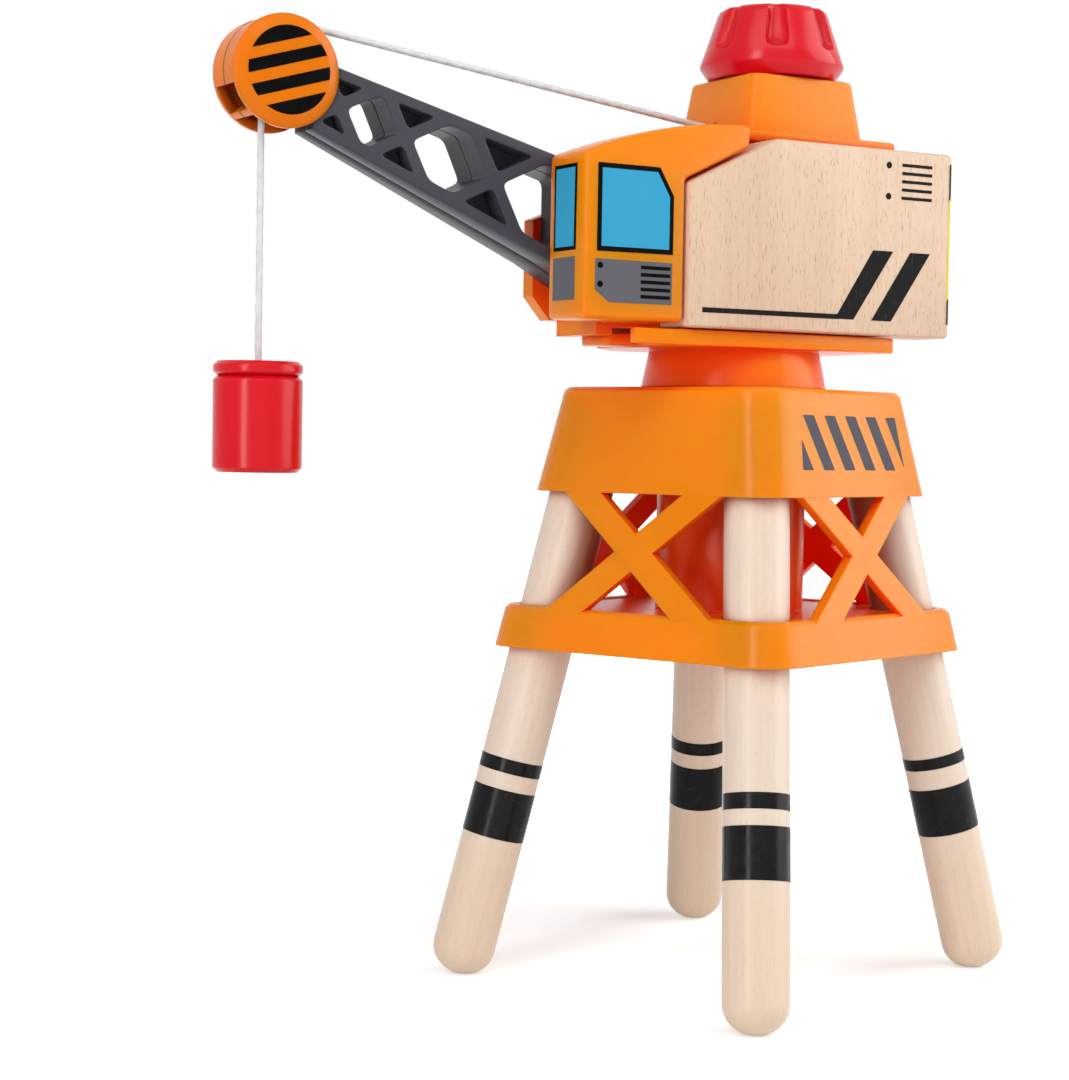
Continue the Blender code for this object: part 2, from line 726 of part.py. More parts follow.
def knob():
    """Fluted winding knob, bored from below for its shaft."""
    rim = KNOB_RIM_UP
    shoulder = KNOB_H - 1.3
    lean = (KNOB_R - KNOB_TOP_R) / (shoulder - rim)

    def side(up):
        return KNOB_R - lean * (up - rim)

    profile = [
        (KNOB_LOW_R, 0.0, 0.0),
        (KNOB_R - 0.15, rim - 0.25, 0.0),
        (KNOB_R - 0.05, rim + 0.25, 0.0),
        (side(rim + 2.4), rim + 2.4, 0.0),
        (side(rim + 2.6), rim + 2.6, 0.45),
        (side(rim + 3.1), rim + 3.1, 0.82),
        (side(rim + 4.2), rim + 4.2, 1.0),
        (KNOB_TOP_R, shoulder, 0.9),
        (KNOB_TOP_R - 0.35, KNOB_H - 0.6, 0.8),
        (KNOB_TOP_R - 1.0, KNOB_H - 0.15, 0.65),
        (KNOB_TOP_R - 1.9, KNOB_H, 0.4),
    ]
    pitch = 2 * pi / FLUTES
    edge = radians(FLUTE_HALF)
    half = [0.0, 0.35 * edge, 0.7 * edge, 0.9 * edge, edge, 1.1 * edge, 0.25 * pitch + 0.5 * edge]
    across = [-0.5 * pitch] + [-place for place in half[:0:-1]] + half
    rings = []
    for radius, up, share in profile:
        ring = []
        for flute in range(FLUTES):
            for place in across:
                angle = radians(KNOB_TURN) + flute * pitch + place
                reach = radius - FLUTE_DEPTH * sqrt(max(0.0, share ** 2 - (place / edge) ** 2))
                ring.append((HOUSING_X + reach * cos(angle), reach * sin(angle), KNOB_LOW + up))
        rings.append(ring)
    made = loft("knob", rings)
    bore = rod(
        "bore",
        (HOUSING_X, 0, KNOB_LOW - 1),
        (HOUSING_X, 0, KNOB_LOW + KNOB_BORE + CLEAR),
        SHAFT_R + CLEAR,
        24,
    )
    return finish(cut(made, bore), "red_plastic")


def winch():
    """Spool on its shaft, and the string wound on it."""
    made = turned("winch_spool", [
        (SHAFT_R, DECK_LOW - SHAFT_BELOW),
        (SHAFT_R, SPOOL_LOW),
        (SPOOL_R, SPOOL_LOW),
        (SPOOL_R, SPOOL_LOW + SPOOL_FLANGE),
        (SPOOL_CORE_R, SPOOL_LOW + SPOOL_FLANGE),
        (SPOOL_CORE_R, SPOOL_TOP - SPOOL_FLANGE),
        (SPOOL_R, SPOOL_TOP - SPOOL_FLANGE),
        (SPOOL_R, SPOOL_TOP),
        (SHAFT_R, SPOOL_TOP),
        (SHAFT_R, KNOB_LOW + KNOB_BORE),
    ], (HOUSING_X, 0))
    finish(made, "red_plastic")
    inner = SPOOL_CORE_R + CLEAR
    low = SPOOL_LOW + SPOOL_FLANGE + CLEAR
    high = SPOOL_TOP - SPOOL_FLANGE - CLEAR
    winding = turned("string_winding", [(inner + WINDING_T, low), (inner + WINDING_T, high)], (HOUSING_X, 0))
    middle = rod("middle", (HOUSING_X, 0, low - 1), (HOUSING_X, 0, high + 1), inner)
    return made, finish(cut(winding, middle), "string")


def jib_top(x):
    share = (x - JIB_ROOT_X) / (JIB_TIP_X - JIB_ROOT_X)
    return BODY_LOW + JIB_ROOT_TOP + share * (JIB_TIP_TOP - JIB_ROOT_TOP)


def jib_low(x):
    return BODY_LOW + JIB_TIP_LOW - JIB_LOW_SLOPE * (JIB_TIP_X - x)


def jib_half_thickness(x):
    share = (x - CAB_FRONT) / (JIB_TIP_X - CAB_FRONT)
    return JIB_HALF_ROOT - min(max(share, 0.0), 1.0) * (JIB_HALF_ROOT - JIB_HALF_TIP)


def clipped(outline, point, normal):
    """The part of a convex outline on the side of a line that its normal points to."""
    kept = []
    for here, there in zip(outline, outline[1:] + outline[:1]):
        depth = (here - point).dot(normal)
        next_depth = (there - point).dot(normal)
        if depth >= 0:
            kept.append(here)
        if depth * next_depth < 0:
            kept.append(here.lerp(there, depth / (depth - next_depth)))
    return kept


def eased(outline, reach, steps=3):
    """A convex outline with its corners rounded."""
    points = []
    for before, here, after in zip(outline[-1:] + outline[:-1], outline, outline[1:] + outline[:1]):
        back = before - here
        ahead = after - here
        trim = min(reach, 0.4 * back.length, 0.4 * ahead.length)
        first = here + back.normalized() * trim
        last = here + ahead.normalized() * trim
        for step in range(steps + 1):
            share = step / steps
            points.append(first.lerp(here, share).lerp(here.lerp(last, share), share))
    return points


def lattice():
    """Through holes and triangular pockets between the jib's crossed bars, as (x, z) outlines."""
    tilt = atan2(jib_top(JIB_TIP_X) + jib_low(JIB_TIP_X) - jib_top(JIB_ROOT_X) - jib_low(JIB_ROOT_X),
                 2 * (JIB_TIP_X - JIB_ROOT_X))
    falling = Vector((cos(tilt - pi / 4), sin(tilt - pi / 4)))
    rising = Vector((cos(tilt + pi / 4), sin(tilt + pi / 4)))
    ends = (PIN_X + PIN_R + CHORD, JIB_TIP_X)
    half = BAR / 2

    def panel(chord):
        return [
            Vector((ends[0], jib_low(ends[0]) + chord)),
            Vector((ends[1], jib_low(ends[1]) + chord)),
            Vector((ends[1], jib_top(ends[1]) - chord)),
            Vector((ends[0], jib_top(ends[0]) - chord)),
        ]

    def wedge(outline, crossing, fall_side, rise_side):
        for direction, side in ((falling, fall_side), (rising, rise_side)):
            outline = clipped(outline, crossing + direction * side * half, direction * side)
        return outline

    places = []
    for back in CROSSINGS:
        x = JIB_TIP_X - back
        places.append(Vector((x, (jib_top(x) + jib_low(x)) / 2)))
    holes = []
    for front, rear in zip(places, places[1:]):
        holes.append(wedge(wedge(panel(CHORD), front, -1, -1), rear, 1, 1))
    pockets = []
    for place in places[:-1]:
        pockets.append(wedge(panel(0.85 * CHORD), place, -1, 1))
        pockets.append(wedge(panel(0.85 * CHORD), place, 1, -1))
    return [eased(hole, LATTICE_ROUND) for hole in holes], [eased(pocket, LATTICE_ROUND) for pocket in pockets]


def jib_half(name, hand):
    """One moulded half of the jib, from the seam at its middle out to its side."""
    outline = [(JIB_TIP_X, jib_low(JIB_TIP_X)), (JIB_TIP_X, jib_top(JIB_TIP_X)), (JIB_ROOT_X, jib_top(JIB_ROOT_X))]
    start = atan2(JIB_ROOT_TOP - PIN_UP, JIB_ROOT_X - PIN_X) + 0.5
    lug_steps = 9
    for step in range(lug_steps + 1):
        angle = start + (1.55 * pi - start) * step / lug_steps
        outline.append((PIN_X + LUG_R * cos(angle), PIN_Z + LUG_R * sin(angle)))
    outline.append((CAB_FRONT, jib_low(CAB_FRONT)))
    seam = hand * CLEAR / 2

    def side(x):
        return hand * jib_half_thickness(x)

    made = side_prism(name, outline, seam, side)
    soften(made, EDGE_ROUND, 2, 70.0)
    far = hand * 2 * JIB_HALF_ROOT
    holes, pockets = lattice()
    cutters = [side_prism("hole", hole, -far, far) for hole in holes]
    cutters += [side_prism("pocket", pocket, hand * POCKET_FLOOR, far) for pocket in pockets]
    cutters.append(rod("pin_hole", (PIN_X, -far, PIN_Z), (PIN_X, far, PIN_Z), PIN_R + CLEAR, 24))
    return finish(cut(made, *cutters), "grey_plastic")


def jib_pin():
    made = rod(
        "jib_pin",
        (PIN_X, -CORE_HALF + CLEAR, PIN_Z),
        (PIN_X, SLOT_HALF + CAB_WALL - CLEAR, PIN_Z),
        PIN_R,
        24,
    )
    return finish(made, "steel")


def sector(name, low, high, inner, outer, across_low, across_high):
    """Part of a ring about the drum's axis, between two angles in degrees."""
    steps = 6
    outline = []
    for step in range(steps + 1):
        angle = radians(low + (high - low) * step / steps)
        outline.append((HEAD_X + outer * cos(angle), HEAD_Z + outer * sin(angle)))
    for step in range(steps + 1):
        angle = radians(high + (low - high) * step / steps)
        outline.append((HEAD_X + inner * cos(angle), HEAD_Z + inner * sin(angle)))
    return side_prism(name, outline, across_low, across_high)


def drum_half(name, hand):
    """One half of the jib's head: a chamfered face and its share of the rim, with its windows."""
    face_in = DRUM_HALF_W - DRUM_FACE_T
    made = turned_on_y(name, [
        (DRUM_R, hand * CLEAR / 2),
        (DRUM_R, hand * (DRUM_HALF_W - DRUM_CHAMFER_Y)),
        (DRUM_R - DRUM_CHAMFER_R, hand * DRUM_HALF_W),
    ], (HEAD_X, HEAD_Z), 48)
    inside = turned_on_y("inside", [
        (DRUM_R - DRUM_WALL, -hand * CLEAR),
        (DRUM_R - DRUM_WALL, hand * face_in),
    ], (HEAD_X, HEAD_Z), 40)
    near = DRUM_R - 2 * DRUM_WALL
    far = DRUM_R + 2
    reach = hand * (face_in - 0.6)
    windows = [
        sector("window", -46, -16, near, far, -hand * CLEAR, reach),
        sector("window", -112, -54, near, far, -hand * CLEAR, reach),
        sector("line_slot", 55, 140, near, far, -hand * CLEAR, hand * (GUIDE_HALF_W + 2 * CLEAR)),
    ]
    tip = [
        (HEAD_X - 2 * DRUM_R, jib_low(HEAD_X - 2 * DRUM_R) - CLEAR),
        (HEAD_X, jib_low(HEAD_X) - CLEAR),
        (HEAD_X, jib_top(HEAD_X) + CLEAR),
        (HEAD_X - 2 * DRUM_R, jib_top(HEAD_X - 2 * DRUM_R) + CLEAR),
    ]

    def tip_side(x):
        share = (x - CAB_FRONT) / (JIB_TIP_X - CAB_FRONT)
        return hand * (JIB_HALF_ROOT - share * (JIB_HALF_ROOT - JIB_HALF_TIP) + CLEAR)

    windows.append(side_prism("tip", tip, -hand * CLEAR, tip_side))
    pin_seat = turned_on_y("pin_seat", [
        (GUIDE_PIN_R + CLEAR, 0.0),
        (GUIDE_PIN_R + CLEAR, hand * (face_in + DRUM_FACE_T / 2)),
    ], (GUIDE_X, GUIDE_Z), 16)
    cut(made, inside, *windows, pin_seat)
    return finish(made, "orange_plastic")


def line_guide():
    """Grooved bush that guides the string in the head, and the pin that holds it."""
    half = GUIDE_HALF_W
    lip = 0.35
    made = turned_on_y("line_guide", [
        (GUIDE_FLANGE_R, -half),
        (GUIDE_FLANGE_R, -half + lip),
        (GUIDE_R, -half + lip),
        (GUIDE_R, half - lip),
        (GUIDE_FLANGE_R, half - lip),
        (GUIDE_FLANGE_R, half),
    ], (GUIDE_X, GUIDE_Z), 24)
    hole = turned_on_y("hole", [
        (GUIDE_PIN_R + CLEAR, -2 * half),
        (GUIDE_PIN_R + CLEAR, 2 * half),
    ], (GUIDE_X, GUIDE_Z), 16)
    finish(cut(made, hole), "grey_plastic")
    end = DRUM_HALF_W - DRUM_FACE_T / 2 - CLEAR
    pin = turned_on_y("guide_pin", [(GUIDE_PIN_R, -end), (GUIDE_PIN_R, end)], (GUIDE_X, GUIDE_Z), 16)
    return made, finish(pin, "steel")


def tube_along(name, route):
    """A string along a route of points, as a round tube with closed ends."""
    data = bpy.data.curves.new(name, "CURVE")
    data.dimensions = "3D"
    data.bevel_depth = LINE_R * MM
    data.bevel_resolution = 2
    data.use_fill_caps = True
    spline = data.splines.new("POLY")
    spline.points.add(len(route) - 1)
    for point, place in zip(spline.points, route):
        point.co = (*(Vector(place) * MM), 1.0)
    made = new_object(name, data)
    data.materials.append(material("string"))
    return made


def between(start, end, pieces):
    return [Vector(start).lerp(Vector(end), step / pieces) for step in range(pieces + 1)]


def line_over_guide():
    """String from the housing to the guide, and round it to where the line hangs."""
    start = Vector((HOUSING_X + HOUSING_LONG * HOUSING_BASE - HOUSING_WALL, 0.0, DECK_TOP + LINE_HOLE_UP))
    to_axis = Vector((GUIDE_X, 0.0, GUIDE_Z)) - start
    slope = atan2(to_axis.z, to_axis.x)
    tangent = pi / 2 + slope + (pi / 2 - atan2(sqrt(to_axis.length ** 2 - LINE_WRAP_R ** 2), LINE_WRAP_R))

    def on_guide(angle):
        return Vector((GUIDE_X + LINE_WRAP_R * cos(angle), 0.0, GUIDE_Z + LINE_WRAP_R * sin(angle)))

    route = between(start, on_guide(tangent), 30)
    wrap_steps = 8
    route += [on_guide(tangent * (1 - step / wrap_steps)) for step in range(1, wrap_steps + 1)]
    return tube_along("string_upper", route)


def hanging_line():
    start = (HANG_X, 0.0, GUIDE_Z - CLEAR)
    end = (HANG_X, 0.0, MAGNET_TOP - MAGNET_CAP_H + CLEAR)
    return tube_along("string_hang", between(start, end, 24))


def magnet():
    """Red cup with its cap, the magnet in its mouth and the knot under the cap."""
    centre = (HANG_X, 0.0)
    seam = MAGNET_TOP - MAGNET_CAP_H
    cup = turned("magnet_cup", [
        (MAGNET_R - EDGE_ROUND, MAGNET_LOW),
        (MAGNET_R, MAGNET_LOW + EDGE_ROUND),
        (MAGNET_R, seam - MAGNET_GROOVE - CLEAR),
        (MAGNET_R - MAGNET_GROOVE, seam - CLEAR),
        (MAGNET_R - MAGNET_GROOVE - MAGNET_SEAT, seam - CLEAR + MAGNET_SEAT),
    ], centre, 40)
    room = turned("room", [
        (MAGNET_R - MAGNET_WALL - EDGE_ROUND, MAGNET_LOW - 1),
        (MAGNET_R - MAGNET_WALL - EDGE_ROUND, MAGNET_TOP),
    ], centre, 32)
    finish(cut(cup, room), "red_plastic")
    inner = MAGNET_R - MAGNET_WALL - EDGE_ROUND - CLEAR
    cap = turned("magnet_cap", [
        (MAGNET_R - MAGNET_GROOVE - MAGNET_SEAT, seam + MAGNET_SEAT),
        (MAGNET_R - MAGNET_GROOVE, seam),
        (MAGNET_R, seam + MAGNET_GROOVE),
        (MAGNET_R, MAGNET_TOP - EDGE_ROUND),
        (MAGNET_R - EDGE_ROUND, MAGNET_TOP),
    ], centre, 40)
    hole = turned("hole", [(LINE_R + CLEAR, seam - 1), (LINE_R + CLEAR, MAGNET_TOP + 1)], centre, 16)
    finish(cut(cap, hole), "red_plastic")
    disc = turned("magnet_disc", [(inner, MAGNET_LOW), (inner, MAGNET_LOW + DISC_T)], centre, 32)
    finish(disc, "steel")
    knot_z = seam - KNOT_R - CLEAR
    knot_profile = []
    for step in range(7):
        angle = -pi / 2 + step * pi / 6
        knot_profile.append((max(KNOT_R * cos(angle), 0.15), knot_z + KNOT_R * sin(angle)))
    knot = turned("line_knot", knot_profile, centre, 12)
    finish(knot, "string")
    return cup, cap, disc, knot


def pivot(name, place, parent=None, turn=0.0):
    """An empty on a joint's axis, in its parent's frame."""
    made = bpy.data.objects.new(name, None)
    bpy.context.scene.collection.objects.link(made)
    made.parent = parent
    made.location = Vector(place) * MM
    made.rotation_euler = (0.0, 0.0, radians(turn))
    return made


def hang_on(empty, place, *pieces):
    """Parent pieces drawn in the turret's frame to an empty that stands at a place in it."""
    for piece in pieces:
        piece.parent = empty
        piece.location = -Vector(place) * MM


def build():
    clear_scene()
    for name, sides in LEG_SIDES.items():
        leg(name, sides)
    tower_frame()
    centre_post()

    slew_place = (0.0, 0.0, 0.0)
    luff_place = (PIN_X, 0.0, PIN_Z)
    winch_place = (HOUSING_X, 0.0, KNOB_LOW)
    guide_place = (GUIDE_X, 0.0, GUIDE_Z)
    hook_place = (HANG_X, 0.0, MAGNET_TOP)
    slew = pivot("slew_axis", slew_place, None, SLEW_ANGLE)
    luff = pivot("luff_axis", luff_place, slew)
    winch_axis = pivot("winch_axis", winch_place, slew)
    swing = pivot("swing_axis", guide_place, slew)
    hook = pivot("hoist_axis", hook_place, slew)

    hang_on(slew, slew_place, turntable(), *slew_fasteners(), turret_core(), cab(), top_housing(), jib_pin())
    hang_on(slew, slew_place, wooden_block("wood_left", 1), wooden_block("wood_right", -1), line_over_guide())
    hang_on(luff, luff_place, jib_half("jib_left", 1), jib_half("jib_right", -1))
    hang_on(luff, luff_place, drum_half("drum_left", 1), drum_half("drum_right", -1))
    guide, guide_pin = line_guide()
    hang_on(luff, luff_place, guide, guide_pin)
    hang_on(swing, guide_place, hanging_line())
    hang_on(winch_axis, winch_place, knob(), *winch())
    hang_on(hook, hook_place, *magnet())


build()
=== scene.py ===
"""Finishes, prints, strings and studio for a toy tower crane."""

from math import acos, atan2, cos, pi, radians, sin

import bmesh
import bpy
from mathutils import Matrix, Vector


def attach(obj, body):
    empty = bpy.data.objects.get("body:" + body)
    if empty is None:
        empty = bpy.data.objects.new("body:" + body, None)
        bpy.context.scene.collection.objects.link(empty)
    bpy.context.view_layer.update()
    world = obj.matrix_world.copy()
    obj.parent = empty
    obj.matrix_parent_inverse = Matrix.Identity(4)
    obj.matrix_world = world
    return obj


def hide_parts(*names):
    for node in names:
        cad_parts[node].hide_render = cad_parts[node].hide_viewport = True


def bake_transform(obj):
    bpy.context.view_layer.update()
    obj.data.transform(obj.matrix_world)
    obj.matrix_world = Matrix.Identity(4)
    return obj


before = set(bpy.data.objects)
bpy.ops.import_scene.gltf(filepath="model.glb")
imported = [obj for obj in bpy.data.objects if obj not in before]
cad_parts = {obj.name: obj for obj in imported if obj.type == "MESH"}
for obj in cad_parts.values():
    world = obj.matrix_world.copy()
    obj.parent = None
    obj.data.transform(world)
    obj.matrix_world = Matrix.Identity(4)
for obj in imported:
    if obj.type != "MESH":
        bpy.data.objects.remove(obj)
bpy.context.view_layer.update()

bl_info = {
    "name": "Toy Tower Crane",
    "version": (1, 0, 0),
    "blender": (4, 5, 0),
    "location": "View3D > Sidebar > Crane",
    "description": "Finishes, prints and strings for a toy tower crane, with its studio",
    "category": "Object",
}

# Sizes of the crane are in millimetres. The turret's frame is the crane's, slewed: x forward, y left.
MM = 0.001
SLEW = radians(-109.8)
INK = 0.05                # height of a print above its surface
BURY = 0.04               # depth of a print below its surface
OVER = (-0.02, 2 * INK)   # depth and height of a print that lies on another print

LEG_FOOT = (33.4, 36.8)   # a leg's middle at the floor
LEG_SPLAY = (0.155, 0.190)                           # how far it moves inwards for each millimetre up
LEG_R = 5.75
LEG_SIDES = {
    "leg_near": (1, -1),
    "leg_right": (1, 1),
    "leg_left": (-1, -1),
    "leg_far": (-1, 1),
}
LEG_BANDS = {             # lower and upper edges of the two painted bands
    "leg_near": ((24.35, 33.2), (35.9, 38.6)),
    "leg_right": ((26.1, 34.8), (38.5, 40.6)),
    "leg_left": ((25.2, 34.0), (37.0, 39.5)),
    "leg_far": ((24.8, 33.6), (36.4, 38.9)),
}
BAND_STEPS = 56
FOOT_FADE = (0.034, 0.018)                           # heights in metres, where a leg turns yellower
FOOT_TINT = (1.0, 0.95, 0.84, 1.0)
TOWER_FADE = (0.048, 0.062)                          # heights in metres, where the tower starts to shade it
# Painted shade: the colour that a leg is darkened towards inside the tower.
TOWER_PAINTED_SHADE = (0.42, 0.18, 0.09, 1.0)

# Faces and axes of the turret and jib, in the turret's frame.
BLOCK_FACE = 19.4         # outer side of a wooden block
CAB_FACE = 18.9           # outer side of the cab
CAB_FRONT = 44.15
DRUM = (92.95, 157.85)    # middle of the head, as (x, z)
DRUM_FACE = 5.5
DRUM_FLAT_R = 7.4

# Strings, in the turret's frame.
GUIDE = (92.85, 164.15)   # axis of the guide, as (x, z)
WRAP_R = 2.65             # from that axis to the middle of the string
STRING_R = 0.6
BRAID_DEPTH = 0.08        # hollow between two strands, as a share of the string's radius
BRAID_STEPS = 5           # points round the string for each strand
BRAID_RINGS = 7           # rings along the string for each lay
HOUSING_HOLE = (3.692, 155.6)                        # where the upper string starts, as (x, z)
MAGNET_X = 95.5
KNOT_TOP = 108.4          # height where the hanging string ends
STRAIGHT_STEPS = 24
WRAP_STEPS = 10
STRING_GAP = 0.3          # between the string on the guide and the one that hangs from it

# Prints on the cab, as (x, z) on its side and (y, z) on its front.
SIDE_WINDOW = ((41.8, 145.45), (29.3, 145.4), (26.4, 140.65), (26.4, 130.55), (41.8, 130.5))
FRONT_WINDOW = ((8.5, 145.45), (16.0, 145.45), (15.8, 130.75), (8.5, 130.75))
FRONT_OUTLINE = 0.75      # the front window's outline, as a share of the side window's
SIDE_PANEL = ((42.1, 129.2), (26.5, 129.1), (26.5, 121.9), (39.3, 121.9), (42.1, 123.9))
FRONT_PANEL = ((8.4, 122.3), (15.6, 122.3), (15.6, 129.6), (8.4, 129.6))
PANEL_DOTS = ((41.1, 128.1), (41.1, 124.9))
PANEL_DOT_R = 0.55
PANEL_LINES = (26.9, 32.9, 128.1, 1.25, 0.3)         # ends, top line, pitch and half thickness

# Prints on a block, as (x, z) on its outer side.
BLOCK_DOTS = ((-20.05, 149.4), (-20.05, 143.75))
BLOCK_DOT_R = 0.62
BLOCK_LINES = (-30.1, -23.1, 149.6, 1.5, 0.28)       # ends, top line, pitch and half thickness
LINE_ROWS = 5
BLOCK_BARS = (
    ((-16.8, 133.75), (-21.4, 133.75), (-12.6, 121.0), (-8.4, 121.0)),
    ((-25.4, 133.75), (-30.0, 133.75), (-21.2, 121.0), (-16.7, 121.0)),
    ((-9.0, 120.95), (20.4, 120.95), (20.4, 121.85), (-9.0, 121.85)),
)

# Hazard stripes: an (x, y) path along a block's back and round its rear edge, and heights along it.
HAZARD_PATH = ((-34.9, 10.8), (-34.9, 18.7), (-34.695, 19.195), (-34.2, 19.4))
HAZARD_HEIGHTS = (120.9, 150.5)
HAZARD_BARS = (113.9, 144.3)                         # lower edges, where the back meets the rear edge
HAZARD_BAR_EDGE = 19.2
HAZARD_BAR_HEIGHT = 12.0
HAZARD_SLOPE = (0.7071, 0.7071)

# Collar stripes: half width of the collar at two heights, then (y, z) on its face.
COLLAR_HALF = (32.86, 24.19)
COLLAR_Z = (60.3, 108.1)
COLLAR_LOW = 93.8
COLLAR_HIGH = 103.4
COLLAR_FIELD = ((-16.3, COLLAR_LOW), (17.2, COLLAR_LOW), (16.1, COLLAR_HIGH), (-14.9, COLLAR_HIGH))
COLLAR_SHIFT = 4.5        # how far a stripe leans over its height
COLLAR_FIRST = -14.1
COLLAR_PITCH = 6.75
COLLAR_STEPS = range(-2, 6)
COLLAR_STRIPE = 3.3

# Head stripes: their lean, and their lower and upper edges from the head's middle.
HEAD_LEAN = atan2(-0.29, 1.0)
HEAD_MARGIN = 0.15        # bare rim between the stripes and the edge of the head's flat face
HEAD_BARS = ((4.75, 9.0), (0.95, 2.95), (-2.95, -0.95), (-9.0, -4.75))
HANDS = (("left", 1), ("right", -1))

# Studio, in metres.
CAMERA_SPOT = (0.25339, -0.35788, 0.09791)
CAMERA_AHEAD = (-0.64304, 0.76469, -0.04179)
CAMERA_ROLL = 0.0171
LAMPS_AIM = (0.0, 0.0, 0.10)
LAMPS = (                 # place, width, height and power
    ("key_lamp", (0.56, 0.50, 0.42), 0.70, 0.75, 5.6),
    ("strip_lamp", (0.12, -0.79, 0.26), 0.15, 0.80, 3.6),
    ("fill_lamp", (0.42, -0.60, 0.30), 0.90, 0.90, 0.8),
    ("back_lamp", (-0.68, 0.38, 0.24), 0.90, 0.38, 1.9),
    ("top_lamp", (0.28, -0.40, 0.76), 0.95, 0.25, 2.3),
)
FLOOR_SIZE = 3.0          # half width
FLOOR_DROP = 0.0003
FLOOR_FADE = (0.09, 0.26)                            # distances over which the floor turns white
FLOOR_GLOW = 0.42         # brightness that the floor adds near the crane, to what the lamps give
AMBIENT = 0.15            # light from the surroundings, where white is 1
WHITE = (1.0, 1.0, 1.0, 1.0)

# Finishes, in metres.
GLOW_REACH = (0.010, 0.0012, 0.0003)                 # how far red, green and blue light goes in the plastic
SHADE_REACH = 0.035     # how near the walls of a recess have to be for painted shade
WELD = 0.000002           # corners nearer than this are one corner
SMOOTH_ANGLE = 32.0       # edges sharper than this stay crisp, in degrees
CRISP_EDGE = {"drum_left": 22.0, "drum_right": 22.0}

ORANGE_NODES = (
    "tower_frame", "centre_post", "turntable", "turret_core", "cab", "top_housing",
)
HEAD_NODES = ("drum_left", "drum_right")
RED_NODES = ("knob", "winch_spool", "magnet_cup", "magnet_cap")
GREY_NODES = ("jib_left", "jib_right", "line_guide")
STEEL_NODES = ("slew_washer", "slew_screw", "jib_pin", "guide_pin", "magnet_disc")


def turret(x, y, z):
    """A point of the turret's frame, in millimetres, as a point of the crane's frame, in metres."""
    return Vector((x * cos(SLEW) - y * sin(SLEW), x * sin(SLEW) + y * cos(SLEW), z)) * MM


def turret_way(x, y, z):
    return turret(x, y, z).normalized()


def leg_point(sides, height):
    x = sides[0] * (LEG_FOOT[0] - LEG_SPLAY[0] * height)
    y = sides[1] * (LEG_FOOT[1] - LEG_SPLAY[1] * height)
    return Vector((x, y, height)) * MM


def finish_colour(name, about, value):
    """A colour that the panel offers."""
    return bpy.props.FloatVectorProperty(
        name=name, description=about, default=value, min=0.0, max=1.0, size=3, subtype="COLOR")


class CraneColours(bpy.types.PropertyGroup):
    """Colours of the crane's finishes"""

    orange: finish_colour("Orange", "Moulded tower and turret", (0.92, 0.245, 0.002))
    orange_deep: finish_colour("Deep orange", "Thicker places of the orange moulding", (0.90, 0.225, 0.002))
    # Painted shade: the orange moulding is given this redder colour in its recesses.
    orange_painted_shade: finish_colour("Inner orange", "Recesses of the orange moulding", (0.96, 0.075, 0.005))
    head: finish_colour("Head", "Round head of the jib", (0.84, 0.182, 0.001))
    head_deep: finish_colour("Head, deep", "Deeper parts of the head's orange", (0.80, 0.166, 0.001))
    # Painted shade: the head is given this dark brown in its recesses.
    head_painted_shade: finish_colour("Head, inner", "Recesses of the round head", (0.22, 0.040, 0.004))
    red: finish_colour("Red", "Knob and magnet", (0.66, 0.003, 0.012))
    red_deep: finish_colour("Deep red", "Thicker places of the red moulding", (0.61, 0.003, 0.010))
    # Painted shade: the red moulding is given this colour in its recesses.
    red_painted_shade: finish_colour("Inner red", "Recesses of the red moulding", (0.57, 0.002, 0.008))
    grey: finish_colour("Grey", "Jib", (0.060, 0.058, 0.072))
    # Also painted shade: the jib is given this colour in its recesses, besides its thicker places.
    grey_deep_and_shade: finish_colour("Deep grey", "Thicker places of the jib", (0.049, 0.048, 0.060))
    beech: finish_colour("Beech", "Pale wood of the side blocks", (0.70, 0.508, 0.358))
    beech_dark: finish_colour("Beech grain", "Darker grain of the side blocks", (0.42, 0.23, 0.125))
    dowel: finish_colour("Dowel", "Pale wood of the legs", (0.76, 0.620, 0.512))
    dowel_dark: finish_colour("Dowel grain", "Darker grain of the legs", (0.54, 0.37, 0.22))
    string: finish_colour("String", "White braided string", (0.72, 0.725, 0.735))
    ink: finish_colour("Black ink", "Bars, lines, outlines and leg bands", (0.008, 0.008, 0.009))
    window: finish_colour("Window", "Printed window panes", (0.038, 0.335, 0.555))
    panel: finish_colour("Panel", "Printed grey panels of the cab", (0.115, 0.115, 0.132))
    collar: finish_colour("Collar stripes", "Printed grey stripes of the collar", (0.085, 0.078, 0.098))
    hazard: finish_colour("Hazard yellow", "Stripes behind the blocks", (0.80, 0.66, 0.02))


class CraneSizes(bpy.types.PropertyGroup):
    """Sizes of the crane's surface detail"""

    strands: bpy.props.IntProperty(
        name="Strands", description="Strands that turn each way in the braid", default=3, min=2, max=6)
    lay_length: bpy.props.FloatProperty(
        name="Lay", description="Length of one full turn of a strand", default=0.0032, min=0.001, max=0.02,
        subtype="DISTANCE", unit="LENGTH")
    outline: bpy.props.FloatProperty(
        name="Outline", description="Black line round a printed window", default=0.00085,
        min=0.0002, max=0.003, subtype="DISTANCE", unit="LENGTH")
    edge: bpy.props.FloatProperty(
        name="Edge", description="Rounding that moulded edges show", default=0.00045, min=0.0, max=0.002,
        subtype="DISTANCE", unit="LENGTH")
    lens: bpy.props.FloatProperty(
        name="Lens", description="Focal length of the studio camera", default=79.05, min=20.0, max=200.0,
        unit="CAMERA")


def colours():
    return bpy.context.scene.crane_colours


def sizes():
    return bpy.context.scene.crane_sizes


def rgba(colour):
    return (colour[0], colour[1], colour[2], 1.0)


